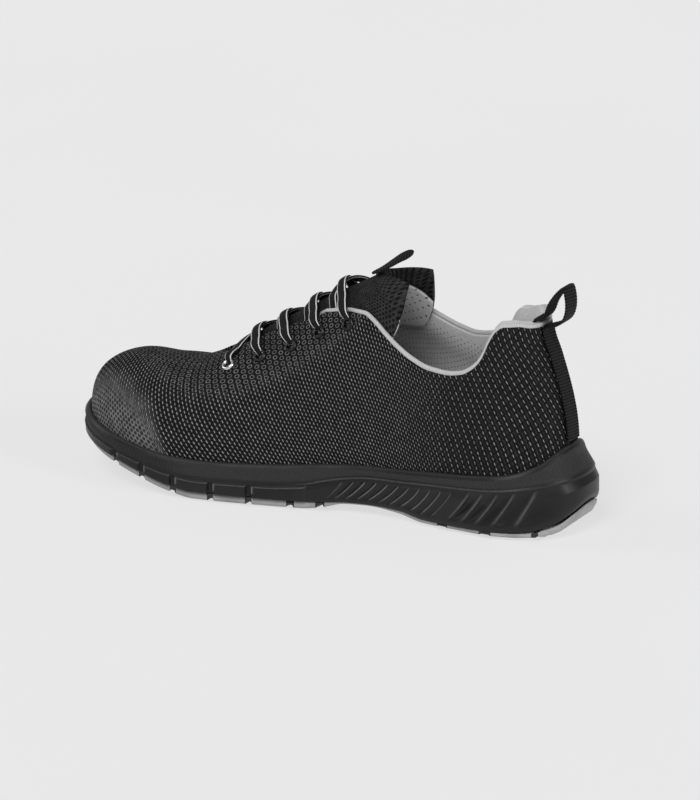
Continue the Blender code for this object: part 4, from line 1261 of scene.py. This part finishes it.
def build_insole(look):
    stations = fine_stations(INSOLE_STEP)
    inset = TUCK + WALL + 2 * GAP
    base = floor(stations) + GAP
    low, high = (plan_ring(stations, -inset, z) for z in (base, base + INSOLE))
    rows = [low[0], high[0]]
    for share in np.linspace(0, 1, 14)[1:-1]:
        place = high[0] * (1 - share) + high[1] * share
        place[:, 2] -= 0.0012 * math.sin(math.pi * share) ** 0.5
        rows.append(place)
    mesh = Mesh()
    index = mesh.table(rows + [high[1], low[1]])
    mesh.quads(index)
    mesh.quads([index[-1], index[0]])
    made = mesh.finish("insole_cloth", look)
    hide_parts("insole")


def tongue_piece(name, look, face, under, cloth):
    """One layer of the tongue between two tables of points."""
    mesh = Mesh()
    above, below = (mesh.table(side, cloth=cloth, zone=(1, 0)) for side in (face, under))
    mesh.quads(above)
    mesh.quads(below, flip=True)
    for k in (0, -1):
        mesh.quads([above[:, k], below[:, k]])
        mesh.quads([above[k], below[k]])
    return mesh.finish(name, look)


def build_tongue(face_look, back_look):
    """Black mesh face with a padded top band, and a pale lining behind it."""
    rows = np.array(TONGUE) * np.array([LAST_LENGTH, LAST_LENGTH, BALL_WIDTH, 1])
    table = np.column_stack([np.linspace(0, 1, len(rows)), rows])
    middle, wing, wide, fill = (curve(table, k) for k in (1, 2, 3, 4))
    t = np.linspace(0, 1, 110)[:, None]
    shares = np.sin(np.linspace(-np.pi / 2, np.pi / 2, 57) * 0.98)[None, :] / np.sin(np.pi / 2 * 0.98)
    near_top = np.clip((t - 0.90) / 0.10, 0, 1) ** 2
    x = middle(t) + (wing(t) - middle(t)) * np.abs(shares) ** 2
    y = shares * wide(t) * (1 - 0.22 * near_top)
    thick = TONGUE_THIN + (TONGUE_THICK - TONGUE_THIN) * np.clip((t - 0.3) / 0.5, 0, 1)
    thick = thick * (1 - 0.55 * near_top) * (1 - 0.45 * np.abs(shares) ** 4)
    free = (np.where(y > 0, edge_width(x, 1), edge_width(x, -1)) - 0.0035 - np.abs(y)) / 0.004
    open_here = (THROAT_END - x) / 0.008
    puff = (WALL + TONGUE_CLEAR - GAP) * fill(t) * np.clip(np.minimum(free, open_here), 0, 1)
    top_band = 0.0008 * ease((t - 0.91) / 0.02) * ease((1 - t) / 0.02)
    groove = -0.0005 * np.exp(-(((t - 0.905) / 0.010) ** 2)) * ease((1 - np.abs(shares)) / 0.1)
    top, out = over_last(x, y, puff - WALL - TONGUE_CLEAR)
    u, v = y * 1000, (middle(0) - middle(t) + 0 * y) * 1000
    back_share = 0.62 + 0.55 * ease((t - 0.925) / 0.02)
    face = top + out * (top_band + groove)[..., None]
    under = top - out * (thick * back_share)[..., None]
    made = tongue_piece("tongue_face", face_look, face, under, (u, v))
    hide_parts("tongue")
    kept = int(np.sum(t[:, 0] < 0.93))
    front, back = (top - out * (thick * share)[..., None] for share in (0.66, 1.0))
    cloth = (u[:kept] * (1 / 1.6), v[:kept] * (1 / 2.2))
    made = tongue_piece("tongue_lining", back_look, front[:kept], back[:kept], cloth)


def build_tab(look):
    """The tongue's pull tab, rolled a little and narrowing to its end."""
    path = through(side_view(TAB_PATH), 60)
    ahead = unit(np.gradient(path, axis=0))
    aside = np.array([0, 1, 0])
    t = np.linspace(0, 1, len(path))
    roll = TAB_ROLL * t[:, None]
    ups = -unit(np.cross(aside, ahead)) * np.cos(roll) + aside * np.sin(roll)
    wide = TAB_WIDTH * np.interp(t, (0, 0.25, 0.6, 0.85, 0.95, 1), (0.8, 1.0, 0.98, 0.74, 0.52, 0.30))
    thick = TAB_THICK * np.interp(t, (0, 0.9, 1), (1.1, 1.1, 0.7))
    mesh = Mesh()
    sweep(mesh, path, ups, rounded(18, 3.2), wide, thick)
    made = mesh.finish("tongue_tab", look)
    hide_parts("tongue_pull_tab")


def build_webbing(look):
    """Ribbed webbing up the heel's back and round in a loop over the collar."""
    stand = GAP + WEBBING_THICK / 2 + 0.0004
    z = np.linspace(rim(REAR) + 0.002, collar_heights[1](REAR) - 0.001, 10)
    here, above = (last_points(REAR + 0 * z, 1, turn_at_height(REAR, h)) for h in (z, z + 0.001))
    rise = unit(above - here)
    out = np.stack([-rise[:, 2], 0 * z, rise[:, 0]], -1)
    back = np.stack([here[:, 0], 0 * z, here[:, 2]], -1) + out * stand
    path = through(np.concatenate([back, side_view(LOOP)]), 900)
    ahead = unit(np.gradient(path, axis=0))
    ups = np.stack([-ahead[:, 2], 0 * ahead[:, 0], ahead[:, 0]], -1)
    rib = 0.5 + 0.5 * np.cos(2 * np.pi * run_along(path) / WEBBING_RIB)
    mesh = Mesh()
    sweep(mesh, path, ups, rounded(20, 5.0), WEBBING_WIDTH, WEBBING_THICK * (0.86 + 0.34 * ease(rib)))
    made = mesh.finish("ribbed_webbing", look)
    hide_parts("heel_webbing")


def build_eyelet(name, node, look, x, y):
    """A rolled ring with its barrel, standing square to the flap."""
    base, out = over_last(x, y, GAP)
    aside = unit(np.cross(out, np.array([1.0, 0, 0])))
    ahead = unit(np.cross(aside, out))
    turns = np.linspace(0, 2 * np.pi, 49)
    ways = aside * np.cos(turns)[:, None] + ahead * np.sin(turns)[:, None]
    middle, ring = (EYELET_BORE + EYELET_OUTER) / 2, (EYELET_OUTER - EYELET_BORE) / 2
    profile = [(EYELET_BORE, -0.0016)]
    for turn in np.linspace(0, np.pi, 9):
        profile.append((middle - ring * math.cos(turn), EYELET_HEIGHT * math.sin(turn) * 1.15))
    profile += [(EYELET_OUTER, -0.0002), (middle, -0.0004), (EYELET_BORE + 0.0003, -0.0016)]
    profile.append(profile[0])
    mesh = Mesh()
    mesh.quads(mesh.table(np.stack([base + ways * r + out * h for r, h in profile], axis=1)))
    made = mesh.finish(name, look)
    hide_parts(node)


def lace_path(start, end, lift, dive_start, dive_end):
    """A lace's middle line over the crest: it goes under the flap at its start, or through an
    eyelet, and through an eyelet at its end."""
    (x0, y0), (x1, y1) = start, end
    t = np.linspace(0, 1, 90)
    x, y = x0 + (x1 - x0) * t**LACE_BEND, y0 + (y1 - y0) * t
    long = math.hypot(x1 - x0, y1 - y0)
    height = 0 * t + LACE_THICK * 0.6 + 2 * GAP + lift * np.sin(np.pi * t)
    wide = 0 * t + LACE_WIDTH
    for dive, left in ((dive_end, (1 - t) * long), (dive_start, t * long)):
        if dive == "eyelet":
            height = height + LACE_RISE * ease((0.010 - left) / 0.006)
            height = height - EYELET_DIVE * (1 - ease(left / 0.0032))
            wide = wide * (1 - 0.48 * (1 - ease(left / 0.0055)))
        else:
            height = height - FLAP_DIVE * (1 - ease(left / 0.0065))
    path, ups = over_last(x, y, height)
    return path, ups, wide


def build_laces(look):
    """The bar at the toe end and four crossings, each lace over the one before."""
    places = [(x * LAST_LENGTH, y * BALL_WIDTH) for x, y in EYELETS]
    corners, thick = rounded(18, 2.5), LACE_THICK * LACE_PUFF
    x, y = places[0]
    mesh = Mesh()
    path, ups, wide = lace_path((x, -y), (x, y), -0.0014, "eyelet", "eyelet")
    sweep(mesh, path, ups, corners, wide, thick)
    made = mesh.finish("toe_lace", look)
    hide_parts("lace_bar")
    for k, back in enumerate(LACE_BACK):
        x0, (x1, y1) = places[k][0] - back, places[k + 1]
        inside = float(edge_width(x0, 1)) - 0.0012
        mesh = Mesh()
        for side, lift in ((1, 0.0016), (-1, 0.0004)):
            path, ups, wide = lace_path((x0, -side * inside), (x1, side * y1), lift, "flap", "eyelet")
            sweep(mesh, path, ups, corners, wide, thick)
        made = mesh.finish(f"crossed_lace_{k + 1}", look)
        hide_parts(f"lace_cross_{k + 1}")


# Stage.

AZIMUTH = math.radians(207.5)
ELEVATION = math.radians(17.5)
AIM = Vector((0.083, 0.0, 0.050))
DISTANCE = 3.0
PIXELS_PER_METRE = 1905.0
LONG_SIDE = 800
FLOOR_HALF = 14.0
FLOOR_DROP = 0.0002


def build_camera():
    level_back = math.cos(ELEVATION)
    back = (math.sin(AZIMUTH) * level_back, -math.cos(AZIMUTH) * level_back, math.sin(ELEVATION))
    back = Vector(back)
    data = bpy.data.cameras.new("camera")
    data.sensor_width = 36.0
    data.lens = PIXELS_PER_METRE * DISTANCE * data.sensor_width / LONG_SIDE
    data.clip_start, data.clip_end = 0.1, 50.0
    camera = link("camera", data)
    camera.location = AIM + back * DISTANCE
    camera.rotation_mode = "QUATERNION"
    camera.rotation_quaternion = (-back).to_track_quat("-Z", "Y")
    bpy.context.scene.camera = camera


def build_floor():
    t = np.linspace(-FLOOR_HALF, FLOOR_HALF, 9)
    x, y = np.meshgrid(t, t, indexing="ij")
    mesh = Mesh()
    mesh.quads(mesh.table(np.stack([x, y, 0 * x - FLOOR_DROP], -1)), flip=True)
    data = bpy.data.meshes.new("studio_floor")
    data.from_pydata(mesh.points[0].tolist(), [], mesh.faces)
    data.materials.append(floor_look().material)
    link("studio_floor", data)


def sun(name, strength, angle, direction):
    data = bpy.data.lights.new(name, "SUN")
    data.energy = strength
    data.angle = math.radians(angle)
    made = link(name, data)
    made.rotation_mode = "QUATERNION"
    made.rotation_quaternion = Vector(direction).to_track_quat("-Z", "Y")


def build_light():
    world = bpy.data.worlds.new("studio")
    world.use_nodes = True
    background = world.node_tree.nodes["Background"]
    background.inputs["Color"].default_value = (1.0, 1.0, 1.0, 1)
    background.inputs["Strength"].default_value = 0.28
    bpy.context.scene.world = world
    sun("key", 1.20, 30, (0.05, -0.66, -0.75))
    sun("front", 0.45, 25, (-0.85, -0.15, -0.45))
    sun("heel", 0.95, 25, (0.92, -0.18, -0.36))
    bpy.context.scene.view_settings.view_transform = "Standard"
    bpy.context.scene.view_settings.look = "None"


def main():
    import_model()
    knit = knit_look()
    lining = lining_look()
    web = ribbon_look("black webbing", (0.0012, 0.0012, 0.0012), (0.026, 0.026, 0.027), 1.6, 0.0005)
    tape = ribbon_look("pale tape", (0.52, 0.52, 0.52), (0.70, 0.70, 0.70), 0.9, 0.00012)
    # Painted highlight: a bright copy of the dark eyelets' metal, for the glint the toe-end pair catches.
    highlit_eyelet_metal = metal_look("bright eyelet", (0.80, 0.80, 0.80), 0.16)
    gunmetal = metal_look("dark eyelet", (0.045, 0.045, 0.048), 0.22)
    build_outsole(tread_look())
    build_midsole(rubber_look())
    build_insole(insole_look())
    build_upper(knit)
    build_lining(lining)
    build_binding(tape)
    build_tongue(tongue_look(), lining)
    build_tab(web)
    build_webbing(web)
    for k, (x, y) in enumerate(EYELETS):
        for label, side in (("medial", 1), ("lateral", -1)):
            # The toe-end pair gets the bright metal as a painted highlight; the others keep the dark metal.
            look, slot = (highlit_eyelet_metal, "bright_eyelet") if k == 0 else (gunmetal, "dark_eyelet")
            name, node = f"rolled_eyelet_{label}_{k + 1}", f"eyelet_{label}_{k + 1}"
            build_eyelet(name, node, look, x * LAST_LENGTH, side * y * BALL_WIDTH)
    build_laces(lace_look())
    build_floor()
    build_light()
    build_camera()


main()
